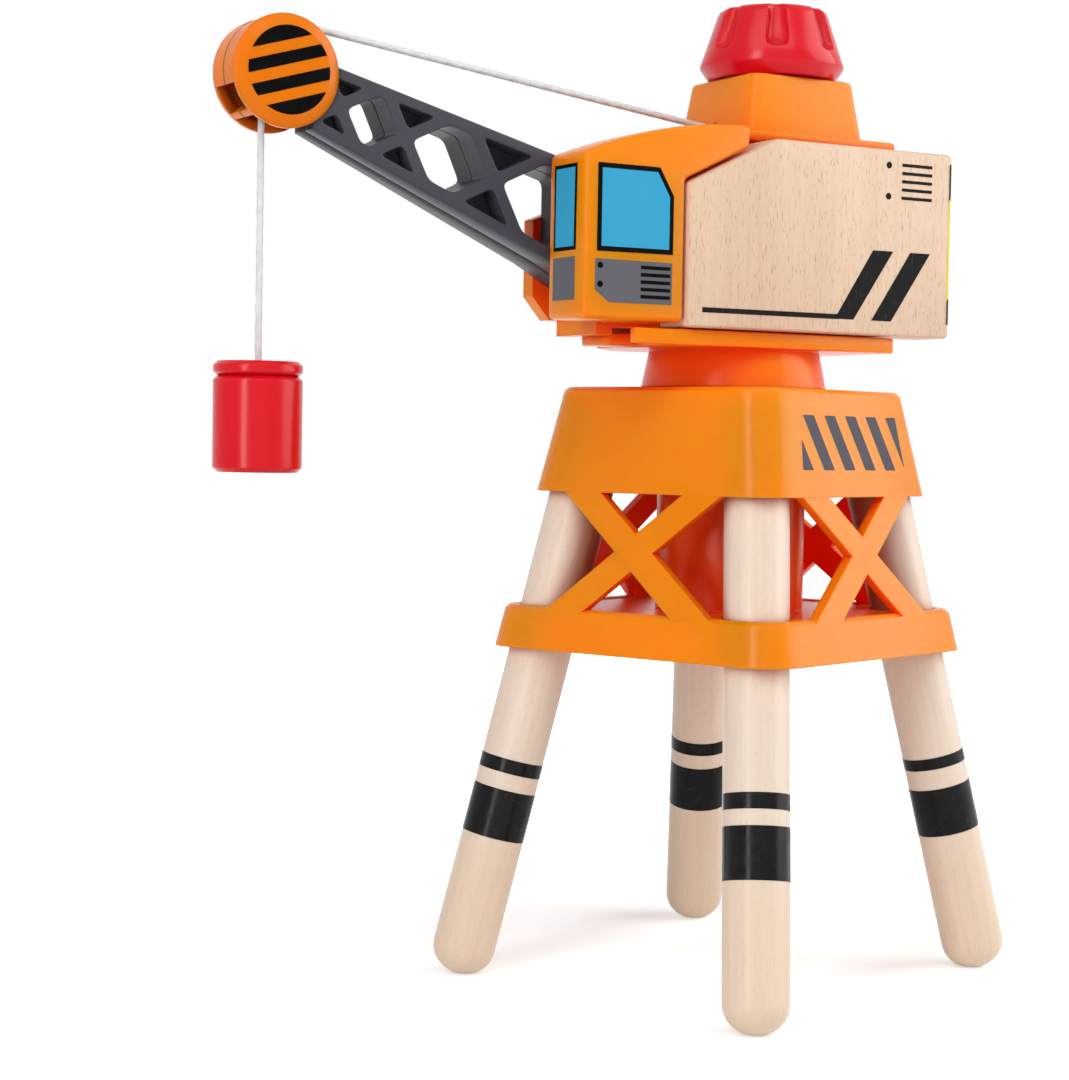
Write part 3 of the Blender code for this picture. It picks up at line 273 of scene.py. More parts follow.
def group_tree(name, inputs, outputs):
    """A shader node group with named sockets, and its two end nodes."""
    tree = bpy.data.node_groups.new(name, "ShaderNodeTree")
    kinds = {"colour": "NodeSocketColor", "value": "NodeSocketFloat", "vector": "NodeSocketVector"}
    for label, kind, default in inputs:
        socket = tree.interface.new_socket(label, in_out="INPUT", socket_type=kinds[kind])
        if default is not None:
            socket.default_value = default
    for label, kind in outputs:
        tree.interface.new_socket(label, in_out="OUTPUT", socket_type=kinds[kind])
    return tree, tree.nodes.new("NodeGroupInput"), tree.nodes.new("NodeGroupOutput")


def own_space(tree):
    """Points in the piece's own frame."""
    return tree.nodes.new("ShaderNodeTexCoord").outputs["Object"]


def noise(tree, vector, scale=1.0, detail=3.0, roughness=0.5):
    made = tree.nodes.new("ShaderNodeTexNoise")
    made.inputs["Detail"].default_value = detail
    made.inputs["Roughness"].default_value = roughness
    if isinstance(scale, (int, float)):
        made.inputs["Scale"].default_value = scale
    else:
        tree.links.new(scale, made.inputs["Scale"])
    tree.links.new(vector, made.inputs["Vector"])
    return made.outputs["Fac"]


def remap(tree, value, low, high, to_low=0.0, to_high=1.0):
    made = tree.nodes.new("ShaderNodeMapRange")
    made.inputs["From Min"].default_value = low
    made.inputs["From Max"].default_value = high
    made.inputs["To Min"].default_value = to_low
    made.inputs["To Max"].default_value = to_high
    tree.links.new(value, made.inputs["Value"])
    return made.outputs["Result"]


def arithmetic(tree, operation, first, second):
    made = tree.nodes.new("ShaderNodeMath")
    made.operation = operation
    for socket, value in zip(made.inputs, (first, second)):
        if isinstance(value, (int, float)):
            socket.default_value = value
        else:
            tree.links.new(value, socket)
    return made.outputs[0]


def mixed(tree, share, first, second, blend="MIX"):
    made = tree.nodes.new("ShaderNodeMix")
    made.data_type = "RGBA"
    made.blend_type = blend
    for label, value in (("A", first), ("B", second)):
        socket = [s for s in made.inputs if s.name == label and s.type == "RGBA"][0]
        if isinstance(value, tuple):
            socket.default_value = value
        else:
            tree.links.new(value, socket)
    if isinstance(share, (int, float)):
        made.inputs[0].default_value = share
    else:
        tree.links.new(share, made.inputs[0])
    return [s for s in made.outputs if s.type == "RGBA"][0]


def stretched(tree, vector, scale, turn=(0.0, 0.0, 0.0)):
    made = tree.nodes.new("ShaderNodeMapping")
    made.inputs["Scale"].default_value = scale
    made.inputs["Rotation"].default_value = turn
    tree.links.new(vector, made.inputs["Vector"])
    return made.outputs["Vector"]


def shelter():
    """Node group: a mask for painted shade, 1 deep in a recess and 0 in the open."""
    name = "shelter"
    if name in bpy.data.node_groups:
        return bpy.data.node_groups[name]
    tree, inside, outside = group_tree(name, [("Reach", "value", SHADE_REACH)], [("Shelter", "value")])
    recess = tree.nodes.new("ShaderNodeAmbientOcclusion")
    recess.samples = 8
    tree.links.new(inside.outputs["Reach"], recess.inputs["Distance"])
    # Painted shade: more occlusion gives more of the shaded colour.
    tree.links.new(remap(tree, recess.outputs["AO"], 0.82, 0.30), outside.inputs["Shelter"])
    return tree


def painted_shade_share(tree):
    return use_group(tree, shelter(), Reach=SHADE_REACH).outputs["Shelter"]


def moulded_skin():
    """Node group: moulded plastic with painted shade in its recesses, a fine texture and faint scuffs."""
    name = "moulded_skin"
    if name in bpy.data.node_groups:
        return bpy.data.node_groups[name]
    tree, inside, outside = group_tree(
        name,
        [("Colour", "colour", None), ("Deep", "colour", None), ("Inner", "colour", None),
         ("Gloss", "value", 0.34), ("Grain", "value", 2600.0)],
        [("Colour", "colour"), ("Roughness", "value"), ("Height", "value")],
    )
    where = own_space(tree)
    drift = remap(tree, noise(tree, where, 38.0, detail=2.0), 0.30, 0.72)
    colour = mixed(tree, drift, inside.outputs["Colour"], inside.outputs["Deep"])
    # Painted shade: in recesses the colour turns to the shaded colour.
    colour = mixed(tree, painted_shade_share(tree), colour, inside.outputs["Inner"])
    scuff_place = stretched(tree, where, (90.0, 420.0, 160.0), (0.4, 0.7, 0.2))
    scuffs = remap(tree, noise(tree, scuff_place, detail=5.0, roughness=0.65), 0.66, 0.80)
    worn = mixed(tree, arithmetic(tree, "MULTIPLY", scuffs, 0.012), colour, (0.9, 0.85, 0.8, 1.0))
    grain = noise(tree, where, inside.outputs["Grain"], detail=2.0)
    spread = remap(tree, grain, 0.3, 0.7, to_low=-0.015, to_high=0.015)
    gloss = arithmetic(tree, "ADD", inside.outputs["Gloss"], spread)
    gloss = arithmetic(tree, "ADD", gloss, arithmetic(tree, "MULTIPLY", scuffs, 0.06))
    ripple = noise(tree, where, 150.0, detail=2.0)
    height = arithmetic(tree, "ADD", arithmetic(tree, "MULTIPLY", grain, 0.25), ripple)
    tree.links.new(worn, outside.inputs["Colour"])
    tree.links.new(gloss, outside.inputs["Roughness"])
    tree.links.new(height, outside.inputs["Height"])
    return tree


def wood_grain():
    """Node group: close-grained wood along Z, with growth bands, pores and short flecks."""
    name = "wood_grain"
    if name in bpy.data.node_groups:
        return bpy.data.node_groups[name]
    tree, inside, outside = group_tree(
        name,
        [("Where", "vector", None), ("Light", "colour", None), ("Dark", "colour", None),
         ("Band", "value", 1.0), ("Fleck", "value", 1.0)],
        [("Colour", "colour"), ("Roughness", "value"), ("Height", "value")],
    )
    where = inside.outputs["Where"]
    broad = noise(tree, stretched(tree, where, (120.0, 120.0, 14.0)))
    bands = remap(tree, broad, 0.34, 0.70)
    fine = noise(tree, stretched(tree, where, (900.0, 900.0, 50.0)), detail=4.0, roughness=0.6)
    fibres = remap(tree, fine, 0.38, 0.70)
    rays = noise(tree, stretched(tree, where, (3200.0, 3200.0, 560.0)), detail=2.0)
    flecks = remap(tree, rays, 0.58, 0.72)
    flecks = arithmetic(tree, "MULTIPLY", flecks, inside.outputs["Fleck"])
    shade = arithmetic(tree, "MULTIPLY", bands, arithmetic(tree, "MULTIPLY", inside.outputs["Band"], 0.22))
    shade = arithmetic(tree, "ADD", shade, arithmetic(tree, "MULTIPLY", fibres, 0.13))
    shade = arithmetic(tree, "ADD", shade, arithmetic(tree, "MULTIPLY", flecks, 0.62))
    colour = mixed(tree, shade, inside.outputs["Light"], inside.outputs["Dark"])
    rough = remap(tree, fine, 0.3, 0.7, to_low=0.48, to_high=0.62)
    height = arithmetic(tree, "SUBTRACT", fine, arithmetic(tree, "MULTIPLY", flecks, 0.5))
    tree.links.new(colour, outside.inputs["Colour"])
    tree.links.new(rough, outside.inputs["Roughness"])
    tree.links.new(height, outside.inputs["Height"])
    return tree


def ink_film():
    """Node group: printed ink, a little uneven where the surface below shows through."""
    name = "ink_film"
    if name in bpy.data.node_groups:
        return bpy.data.node_groups[name]
    tree, inside, outside = group_tree(
        name,
        [("Colour", "colour", None), ("Under", "colour", None), ("Cover", "value", 0.05),
         ("Gloss", "value", 0.42)],
        [("Colour", "colour"), ("Roughness", "value"), ("Height", "value")],
    )
    where = own_space(tree)
    cloud = noise(tree, where, 420.0, detail=4.0, roughness=0.6)
    pores = noise(tree, stretched(tree, where, (1600.0, 1600.0, 420.0)), detail=2.0)
    thin = remap(tree, pores, 0.60, 0.72)
    fade = remap(tree, cloud, 0.3, 0.7, to_high=0.008)
    tone = mixed(tree, fade, inside.outputs["Colour"], (0.5, 0.5, 0.5, 1.0))
    bare = arithmetic(tree, "MULTIPLY", thin, inside.outputs["Cover"])
    colour = mixed(tree, bare, tone, inside.outputs["Under"])
    tree.links.new(colour, outside.inputs["Colour"])
    rough = arithmetic(tree, "ADD", remap(tree, cloud, 0.3, 0.7, to_high=0.16), inside.outputs["Gloss"])
    tree.links.new(rough, outside.inputs["Roughness"])
    tree.links.new(pores, outside.inputs["Height"])
    return tree


def start_material(name):
    """A material with its Principled shader."""
    made = bpy.data.materials.new(name)
    made.use_nodes = True
    return made, made.node_tree, made.node_tree.nodes["Principled BSDF"]


def use_group(tree, group, **values):
    made = tree.nodes.new("ShaderNodeGroup")
    made.node_tree = group
    for label, value in values.items():
        made.inputs[label].default_value = value
    return made


def raise_surface(tree, shader, height, strength, distance, edge=0.0):
    """Bump a surface, over edges that look rounded."""
    bump = tree.nodes.new("ShaderNodeBump")
    bump.inputs["Strength"].default_value = strength
    bump.inputs["Distance"].default_value = distance
    tree.links.new(height, bump.inputs["Height"])
    if edge > 0:
        rounded = tree.nodes.new("ShaderNodeBevel")
        rounded.samples = 6
        rounded.inputs["Radius"].default_value = edge
        tree.links.new(rounded.outputs["Normal"], bump.inputs["Normal"])
    tree.links.new(bump.outputs["Normal"], shader.inputs["Normal"])


def dress(tree, shader, group, **relief):
    """Take colour, roughness and relief from a group."""
    raise_surface(tree, shader, group.outputs["Height"], **relief)
    tree.links.new(group.outputs["Colour"], shader.inputs["Base Color"])
    tree.links.new(group.outputs["Roughness"], shader.inputs["Roughness"])


def plastic(name, colour, deep, inner, gloss, glow, shine=0.15, soften=1.0):
    """Moulded plastic that lets some light through, with edges that look rounded."""
    made, tree, shader = start_material(name)
    skin = use_group(
        tree, moulded_skin(), Colour=rgba(colour), Deep=rgba(deep), Inner=rgba(inner), Gloss=gloss)
    dress(tree, shader, skin, strength=0.02, distance=0.0004, edge=sizes().edge * soften)
    shader.inputs["Subsurface Weight"].default_value = glow
    shader.inputs["Subsurface Radius"].default_value = GLOW_REACH
    shader.inputs["Subsurface Scale"].default_value = 1.0
    shader.inputs["Specular IOR Level"].default_value = shine
    return made


def timber(name, light, dark, lean, band, fleck, varnish, leg=False):
    """Wood whose grain runs along a direction; a leg is yellower at its foot and has painted shade inside the
    tower.
    """
    made, tree, shader = start_material(name)
    where = own_space(tree)
    turned = stretched(tree, where, (1.0, 1.0, 1.0), lean)
    grain = use_group(tree, wood_grain(), Light=rgba(light), Dark=rgba(dark), Band=band, Fleck=fleck)
    tree.links.new(turned, grain.inputs["Where"])
    dress(tree, shader, grain, strength=0.18, distance=0.0003, edge=sizes().edge)
    if leg:
        split = tree.nodes.new("ShaderNodeSeparateXYZ")
        tree.links.new(where, split.inputs[0])
        height = split.outputs["Z"]
        foot = remap(tree, height, *FOOT_FADE, to_high=0.8)
        tinted = mixed(tree, foot, grain.outputs["Colour"], FOOT_TINT, "MULTIPLY")
        # Painted shade: inside the tower, the leg's colour is darkened in its recesses.
        inside = arithmetic(tree, "MULTIPLY", painted_shade_share(tree), remap(tree, height, *TOWER_FADE))
        tinted = mixed(tree, inside, tinted, TOWER_PAINTED_SHADE, "MULTIPLY")
        tree.links.new(tinted, shader.inputs["Base Color"])
    shader.inputs["Coat Weight"].default_value = varnish
    shader.inputs["Coat Roughness"].default_value = 0.30
    return made


def printed(name, colour, under, cover, shine=0.05, gloss=0.42, tone=1.0):
    """Ink or paint, with its colour darkened to a tone."""
    made, tree, shader = start_material(name)
    shade = rgba([tone * value for value in colour])
    film = use_group(tree, ink_film(), Colour=shade, Under=rgba(under), Cover=cover, Gloss=gloss)
    dress(tree, shader, film, strength=0.10, distance=0.00015)
    shader.inputs["Specular IOR Level"].default_value = shine
    return made


def steel(name):
    """Bare metal with fine brushing."""
    made, tree, shader = start_material(name)
    where = own_space(tree)
    brushed = noise(tree, stretched(tree, where, (900.0, 900.0, 9000.0)))
    rough = remap(tree, brushed, 0.3, 0.7, to_low=0.20, to_high=0.38)
    tree.links.new(rough, shader.inputs["Roughness"])
    tone = mixed(tree, brushed, (0.32, 0.32, 0.33, 1.0), (0.44, 0.44, 0.45, 1.0))
    tree.links.new(tone, shader.inputs["Base Color"])
    raise_surface(tree, shader, brushed, strength=0.08, distance=0.0001)
    shader.inputs["Metallic"].default_value = 1.0
    return made


def twine(name, base):
    """White string: fine fibres over the braid, darker in patches."""
    made, tree, shader = start_material(name)
    where = own_space(tree)
    fibres = noise(tree, where, 5200.0, roughness=0.6)
    patches = noise(tree, where, 700.0, detail=2.0)
    darker = tuple(0.80 * value for value in base)
    share = arithmetic(tree, "MULTIPLY", fibres, patches)
    tone = mixed(tree, remap(tree, share, 0.12, 0.45), rgba(base), rgba(darker))
    tree.links.new(tone, shader.inputs["Base Color"])
    rough = remap(tree, fibres, 0.3, 0.7, to_low=0.78, to_high=0.95)
    tree.links.new(rough, shader.inputs["Roughness"])
    raise_surface(tree, shader, fibres, strength=0.25, distance=0.0001)
    shader.inputs["Sheen Weight"].default_value = 0.25
    return made


FINISHES = {              # what makes it, the names of its colours, and its other values
    "orange_moulding": (plastic, ("orange", "orange_deep", "orange_painted_shade"), {"gloss": 0.26, "glow": 0.60}),
    "head_moulding": (
        plastic, ("head", "head_deep", "head_painted_shade"),
        {"gloss": 0.26, "glow": 0.30, "shine": 0.12, "soften": 2.2}),
    "red_moulding": (
        plastic, ("red", "red_deep", "red_painted_shade"), {"gloss": 0.22, "glow": 0.10, "shine": 0.22}),
    "grey_moulding": (plastic, ("grey", "grey_deep_and_shade", "grey_deep_and_shade"), {"gloss": 0.40, "glow": 0.0}),
    "block_beech": (
        timber, ("beech", "beech_dark"),
        {"lean": (0.0, 0.0, 0.0), "band": 0.8, "fleck": 1.0, "varnish": 0.08}),
    "bare_steel": (steel, (), {}),
    "white_twine": (twine, ("string",), {}),
    "black_on_wood": (printed, ("ink", "beech_dark"), {"cover": 0.06}),
    "band_paint": (
        printed, ("ink", "beech_dark"), {"cover": 0.015, "shine": 0.12, "gloss": 0.15, "tone": 0.5}),
    "black_on_plastic": (printed, ("ink", "ink"), {"cover": 0.0, "shine": 0.02, "tone": 0.2}),
    "window_print": (printed, ("window", "window"), {"cover": 0.0}),
    "panel_print": (printed, ("panel", "panel"), {"cover": 0.0}),
    "collar_print": (printed, ("collar", "collar"), {"cover": 0.0}),
    "hazard_print": (printed, ("hazard", "beech_dark"), {"cover": 0.15}),
}


def finish_for(name):
    """The material of that name, made the first time that it is asked for."""
    found = bpy.data.materials.get(name)
    if found:
        return found
    make, names, values = FINISHES[name]
    return make(name, *[getattr(colours(), each) for each in names], **values)


def dowel_finish(name, sides):
    """Leg wood with its grain along that leg."""
    axis = (leg_point(sides, 1.0) - leg_point(sides, 0.0)).normalized()
    lean = axis.rotation_difference(Vector((0, 0, 1))).to_euler()
    c = colours()
    return timber(
        name + "_wood", c.dowel, c.dowel_dark, tuple(lean), band=0.55, fleck=0.35, varnish=0.30, leg=True)


def rounded_shading():
    """Geometry node group: one smooth skin, broken only along edges sharper than an angle."""
    name = "rounded_shading"
    if name in bpy.data.node_groups:
        return bpy.data.node_groups[name]
    tree = bpy.data.node_groups.new(name, "GeometryNodeTree")
    tree.interface.new_socket("Geometry", in_out="INPUT", socket_type="NodeSocketGeometry")
    tree.interface.new_socket("Angle", in_out="INPUT", socket_type="NodeSocketFloat")
    tree.interface.new_socket("Geometry", in_out="OUTPUT", socket_type="NodeSocketGeometry")
    weld = tree.nodes.new("GeometryNodeMergeByDistance")
    weld.inputs["Distance"].default_value = WELD
    bare = tree.nodes.new("GeometryNodeRemoveAttribute")
    bare.inputs["Name"].default_value = "custom_normal"
    smooth = tree.nodes.new("GeometryNodeSetShadeSmooth")
    angle = tree.nodes.new("GeometryNodeInputMeshEdgeAngle")
    limit = tree.nodes.new("FunctionNodeCompare")
    limit.operation = "LESS_THAN"
    tree.links.new(angle.outputs["Unsigned Angle"], limit.inputs["A"])
    edges = tree.nodes.new("GeometryNodeSetShadeSmooth")
    edges.domain = "EDGE"
    tree.links.new(limit.outputs["Result"], edges.inputs["Shade Smooth"])
    entry = tree.nodes.new("NodeGroupInput")
    tree.links.new(entry.outputs["Angle"], limit.inputs["B"])
    chain = [entry, weld, bare, smooth, edges, tree.nodes.new("NodeGroupOutput")]
    for first, second in zip(chain, chain[1:]):
        tree.links.new(first.outputs[0], second.inputs[0])
    return tree


def give(node, material):
    """Give a node its material and its smooth shading."""
    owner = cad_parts[node]
    for slot in owner.material_slots:
        slot.link = "OBJECT"
        slot.material = material
    skin = owner.modifiers.new("shading", "NODES")
    skin.node_group = rounded_shading()
    angle = skin.node_group.interface.items_tree["Angle"].identifier
    skin[angle] = radians(CRISP_EDGE.get(node, SMOOTH_ANGLE))


def new_piece(name, work, material, body, smooth=None):
    """A finished mesh piece that rides on a body."""
    bmesh.ops.recalc_face_normals(work, faces=work.faces)
    mesh = bpy.data.meshes.new(name)
    work.to_mesh(mesh)
    work.free()
    mesh.materials.append(material)
    if smooth:
        mesh.shade_smooth()
        mesh.set_sharp_from_angle(angle=radians(smooth))
    made = bpy.data.objects.new(name, mesh)
    bpy.context.scene.collection.objects.link(made)
    if body:
        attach(made, body)
    return made


def add_print(work, outline, low=BURY, high=INK):
    """A thin raised shape: outline gives surface points, each with the way out of the surface there."""
    bottom = [work.verts.new(point - out * low * MM) for point, out in outline]
    top = [work.verts.new(point + out * high * MM) for point, out in outline]
    count = len(outline)
    work.faces.new(bottom)
    work.faces.new(top)
    for index in range(count):
        after = (index + 1) % count
        work.faces.new((bottom[index], bottom[after], top[after], top[index]))


def on_side(outline, face, hand=1):
    """Turret (x, z) points on a face that looks to the turret's left, or right where hand is -1."""
    out = turret_way(0, hand, 0)
    return [(turret(x, hand * face, z), out) for x, z in outline]


def on_front(outline, face):
    """Turret (y, z) points on a face that looks forward."""
    out = turret_way(1, 0, 0)
    return [(turret(face, y, z), out) for y, z in outline]


def disc(centre, radius, steps=20):
    return [(centre[0] + radius * cos(2 * pi * i / steps), centre[1] + radius * sin(2 * pi * i / steps))
            for i in range(steps)]


def inset(outline, depth):
    """A convex outline moved inwards by a depth."""
    points = vectors(outline)
    middle = sum(points, Vector((0, 0))) / len(points)
    lines = []
    for here, there in zip(points, points[1:] + points[:1]):
        way = (there - here).normalized()
        inward = Vector((-way.y, way.x))
        if (middle - here).dot(inward) < 0:
            inward = -inward
        lines.append((here + inward * depth, way))
    corners = []
    for (p, u), (q, v) in zip(lines[-1:] + lines[:-1], lines):
        cross = u.x * v.y - u.y * v.x
        gap = q - p
        corners.append(p + u * ((gap.x * v.y - gap.y * v.x) / cross))
    return [tuple(corner) for corner in corners]


def clipped(outline, point, normal):
    """The part of a convex outline on the side of a line that its normal points to."""
    kept = []
    for here, there in zip(outline, outline[1:] + outline[:1]):
        depth = (here - point).dot(normal)
        next_depth = (there - point).dot(normal)
        if depth >= 0:
            kept.append(here)
        if depth * next_depth < 0:
            kept.append(here.lerp(there, depth / (depth - next_depth)))
    return kept


def rectangle(left, right, low, high):
    return [(left, low), (right, low), (right, high), (left, high)]


def line_rows(left, right, top, pitch, half):
    """Thin level lines, one below another."""
    heights = [top - pitch * row for row in range(LINE_ROWS)]
    return [rectangle(left, right, height - half, height + half) for height in heights]


def vectors(points):
    return [Vector(point) for point in points]


def braided_string(name, route):
    """A string of strands that turn both ways, along a route of points in the crane's frame."""
    strands = sizes().strands
    steps_round = BRAID_STEPS * strands
    lay = sizes().lay_length
    points = [route[0]]
    for here, there in zip(route, route[1:]):
        pieces = max(1, round((there - here).length / (lay / BRAID_RINGS)))
        points += [here.lerp(there, step / pieces) for step in range(1, pieces + 1)]
    work = bmesh.new()
    rings = []
    travelled = 0.0
    side = turret_way(0, 1, 0)
    for index, point in enumerate(points):
        ahead = points[min(index + 1, len(points) - 1)]
        behind = points[max(index - 1, 0)]
        way = (ahead - behind).normalized()
        if index:
            travelled += (point - points[index - 1]).length
        across = (side - way * side.dot(way)).normalized()
        other = way.cross(across)
        twist = 2 * pi * travelled / lay
        ring = []
        for step in range(steps_round):
            angle = 2 * pi * step / steps_round
            lobe = abs(cos((strands * angle - twist) / 2)) + abs(cos((strands * angle + twist) / 2))
            reach = STRING_R * MM * (1 - 2 * BRAID_DEPTH + BRAID_DEPTH * lobe)
            ring.append(work.verts.new(point + (across * cos(angle) + other * sin(angle)) * reach))
        rings.append(ring)
    for low, high in zip(rings, rings[1:]):
        for step in range(steps_round):
            after = (step + 1) % steps_round
            work.faces.new((low[step], low[after], high[after], high[step]))
    work.faces.new(rings[0])
    work.faces.new(rings[-1])
    return new_piece(name, work, finish_for("white_twine"), None, smooth=60)


def seen_directly(tree):
    """1 where a ray comes from the camera, a reflection or a clear piece, and 0 where it only lights."""
    path = tree.nodes.new("ShaderNodeLightPath")
    seen = arithmetic(tree, "MAXIMUM", path.outputs["Is Camera Ray"], path.outputs["Is Glossy Ray"])
    return arithmetic(tree, "MAXIMUM", seen, path.outputs["Is Transmission Ray"])


class CRANE_OT_stage(bpy.types.Operator):
    """Make the floor, lamps, world and camera"""

    bl_idname = "crane.stage"
    bl_label = "Stage"

    def execute(self, context):
        scene = context.scene
        scene.view_settings.view_transform = "Standard"
        self.camera(scene)
        self.floor(scene)
        self.world(scene)
        self.lamps(scene)
        return {"FINISHED"}

    def camera(self, scene):
        data = bpy.data.cameras.new("studio_camera")
        data.lens = sizes().lens
        data.sensor_width = 36.0
        data.sensor_fit = "HORIZONTAL"
        data.clip_start = 0.01
        camera = bpy.data.objects.new("studio_camera", data)
        forward = Vector(CAMERA_AHEAD).normalized()
        level = Vector((forward.y, -forward.x, 0)).normalized()
        upward = level.cross(forward)
        right = level * cos(CAMERA_ROLL) + upward * sin(CAMERA_ROLL)
        top = upward * cos(CAMERA_ROLL) - level * sin(CAMERA_ROLL)
        turn = Matrix((right, top, -forward)).transposed().to_4x4()
        camera.matrix_world = Matrix.Translation(CAMERA_SPOT) @ turn
        scene.collection.objects.link(camera)
        scene.camera = camera

    def lamps(self, scene):
        toward = Vector(LAMPS_AIM)
        for name, spot, width, height, power in LAMPS:
            lamp = bpy.data.lights.new(name, "AREA")
            lamp.shape = "RECTANGLE"
            lamp.energy = power
            lamp.size = width
            lamp.size_y = height
            holder = bpy.data.objects.new(name, lamp)
            holder.location = spot
            holder.rotation_euler = (toward - Vector(spot)).to_track_quat("-Z", "Y").to_euler()
            # The back lamp only lifts the shade, so the plastic doesn't mirror it.
            holder.visible_glossy = name != "back_lamp"
            scene.collection.objects.link(holder)

    def floor(self, scene):
        work = bmesh.new()
        bmesh.ops.create_grid(work, x_segments=8, y_segments=8, size=FLOOR_SIZE)
        mesh = bpy.data.meshes.new("floor")
        work.to_mesh(mesh)
        work.free()
        made, tree, shader = start_material("pale_floor")
        where = own_space(tree)
        clouds = noise(tree, where, 3.0, detail=2.0)
        tone = mixed(tree, clouds, (0.86, 0.86, 0.86, 1.0), (0.90, 0.90, 0.90, 1.0))
        tree.links.new(tone, shader.inputs["Base Color"])
        shader.inputs["Roughness"].default_value = 0.9
        shader.inputs["Specular IOR Level"].default_value = 0.1
        shader.inputs["Emission Color"].default_value = WHITE
        away = tree.nodes.new("ShaderNodeVectorMath")
        away.operation = "LENGTH"
        tree.links.new(where, away.inputs[0])
        fade = remap(tree, away.outputs["Value"], *FLOOR_FADE, to_low=FLOOR_GLOW)
        shown = arithmetic(tree, "MULTIPLY", fade, seen_directly(tree))
        tree.links.new(shown, shader.inputs["Emission Strength"])
        mesh.materials.append(made)
        floor = bpy.data.objects.new("floor", mesh)
        floor.location = (0, 0, -FLOOR_DROP)
        scene.collection.objects.link(floor)

    def world(self, scene):
        world = bpy.data.worlds.new("studio")
        world.use_nodes = True
        scene.world = world
        tree = world.node_tree
        back = tree.nodes["Background"]
        level = remap(tree, seen_directly(tree), 0.0, 1.0, to_low=AMBIENT)
        back.inputs["Color"].default_value = WHITE
        tree.links.new(level, back.inputs["Strength"])


class CRANE_OT_strings(bpy.types.Operator):
    """Lay the upper string over its guide and hang the line that carries the magnet"""

    bl_idname = "crane.strings"
    bl_label = "Strings"

    def execute(self, context):
        start = Vector(HOUSING_HOLE)
        axis = Vector(GUIDE)
        away = axis - start
        touch = pi + atan2(away.y, away.x) - acos(WRAP_R / away.length)

        def on_guide(angle):
            return axis + WRAP_R * Vector((cos(angle), sin(angle)))

        flat = [start.lerp(on_guide(touch), step / STRAIGHT_STEPS) for step in range(STRAIGHT_STEPS + 1)]
        flat += [on_guide(touch * (1 - step / WRAP_STEPS)) for step in range(1, WRAP_STEPS + 1)]
        route = [turret(x, 0, z) for x, z in flat]
        upper = braided_string("upper_string", route)
        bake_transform(upper)
        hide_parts("string_upper")
        top = turret(MAGNET_X, 0, GUIDE[1] - STRING_GAP)
        low = turret(MAGNET_X, 0, KNOT_TOP)
        route = [top.lerp(low, step / STRAIGHT_STEPS) for step in range(STRAIGHT_STEPS + 1)]
        hanging = braided_string("hanging_string", route)
        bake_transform(hanging)
        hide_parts("string_hang")
        for node in ("string_winding", "line_knot"):
            give(node, finish_for("white_twine"))
        return {"FINISHED"}


class CRANE_OT_mouldings(bpy.types.Operator):
    """Give the moulded and metal pieces their finishes"""

    bl_idname = "crane.mouldings"
    bl_label = "Mouldings"

    def execute(self, context):
        for nodes, finish in (
            (ORANGE_NODES, "orange_moulding"),
            (HEAD_NODES, "head_moulding"),
            (RED_NODES, "red_moulding"),
            (GREY_NODES, "grey_moulding"),
            (STEEL_NODES, "bare_steel"),
        ):
            for node in nodes:
                give(node, finish_for(finish))
        return {"FINISHED"}


class CRANE_OT_timber(bpy.types.Operator):
    """Give the blocks and legs their wood, and print the bands round the legs"""

    bl_idname = "crane.timber"
    bl_label = "Timber"

    def execute(self, context):
        for node in ("wood_left", "wood_right"):
            give(node, finish_for("block_beech"))
        for node, sides in LEG_SIDES.items():
            give(node, dowel_finish(node, sides))
            work = bmesh.new()
            for low, high in LEG_BANDS[node]:
                self.band(work, sides, low, high)
            new_piece(node + "_bands", work, finish_for("band_paint"), "tower", smooth=40)
        return {"FINISHED"}

    def band(self, work, sides, low, high):
        axis = (leg_point(sides, 1.0) - leg_point(sides, 0.0)).normalized()
        turn = axis.to_track_quat("Z", "Y")
        rings = []
        for height, radius in ((low, -BURY), (low, INK), (high, INK), (high, -BURY)):
            base = leg_point(sides, height)
            reach = (LEG_R + radius) * MM
            ring = []
            for step in range(BAND_STEPS):
                angle = 2 * pi * step / BAND_STEPS
                ring.append(work.verts.new(base + turn @ Vector((reach * cos(angle), reach * sin(angle), 0))))
            rings.append(ring)
        for first, second in zip(rings, rings[1:] + rings[:1]):
            for step in range(BAND_STEPS):
                after = (step + 1) % BAND_STEPS
                work.faces.new((first[step], first[after], second[after], second[step]))


class CRANE_OT_cab_prints(bpy.types.Operator):
    """Print the cab's windows and panels"""

    bl_idname = "crane.cab_prints"
    bl_label = "Cab prints"

    def execute(self, context):
        outline = sizes().outline / MM
        frames = bmesh.new()
        add_print(frames, on_side(SIDE_WINDOW, CAB_FACE))
        add_print(frames, on_front(FRONT_WINDOW, CAB_FRONT))
        self.piece("window_frames", frames, "black_on_plastic")
        panes = bmesh.new()
        add_print(panes, on_side(inset(SIDE_WINDOW, outline), CAB_FACE), *OVER)
        add_print(panes, on_front(inset(FRONT_WINDOW, FRONT_OUTLINE * outline), CAB_FRONT), *OVER)
        self.piece("window_panes", panes, "window_print")
        panels = bmesh.new()
        add_print(panels, on_side(SIDE_PANEL, CAB_FACE))
        add_print(panels, on_front(FRONT_PANEL, CAB_FRONT))
        self.piece("cab_panels", panels, "panel_print")
        marks = bmesh.new()
        dots = [disc(spot, PANEL_DOT_R) for spot in PANEL_DOTS]
        for shape in dots + line_rows(*PANEL_LINES):
            add_print(marks, on_side(shape, CAB_FACE), *OVER)
        self.piece("cab_marks", marks, "black_on_plastic")
        return {"FINISHED"}

    def piece(self, name, work, finish):
        new_piece(name, work, finish_for(finish), "turret")


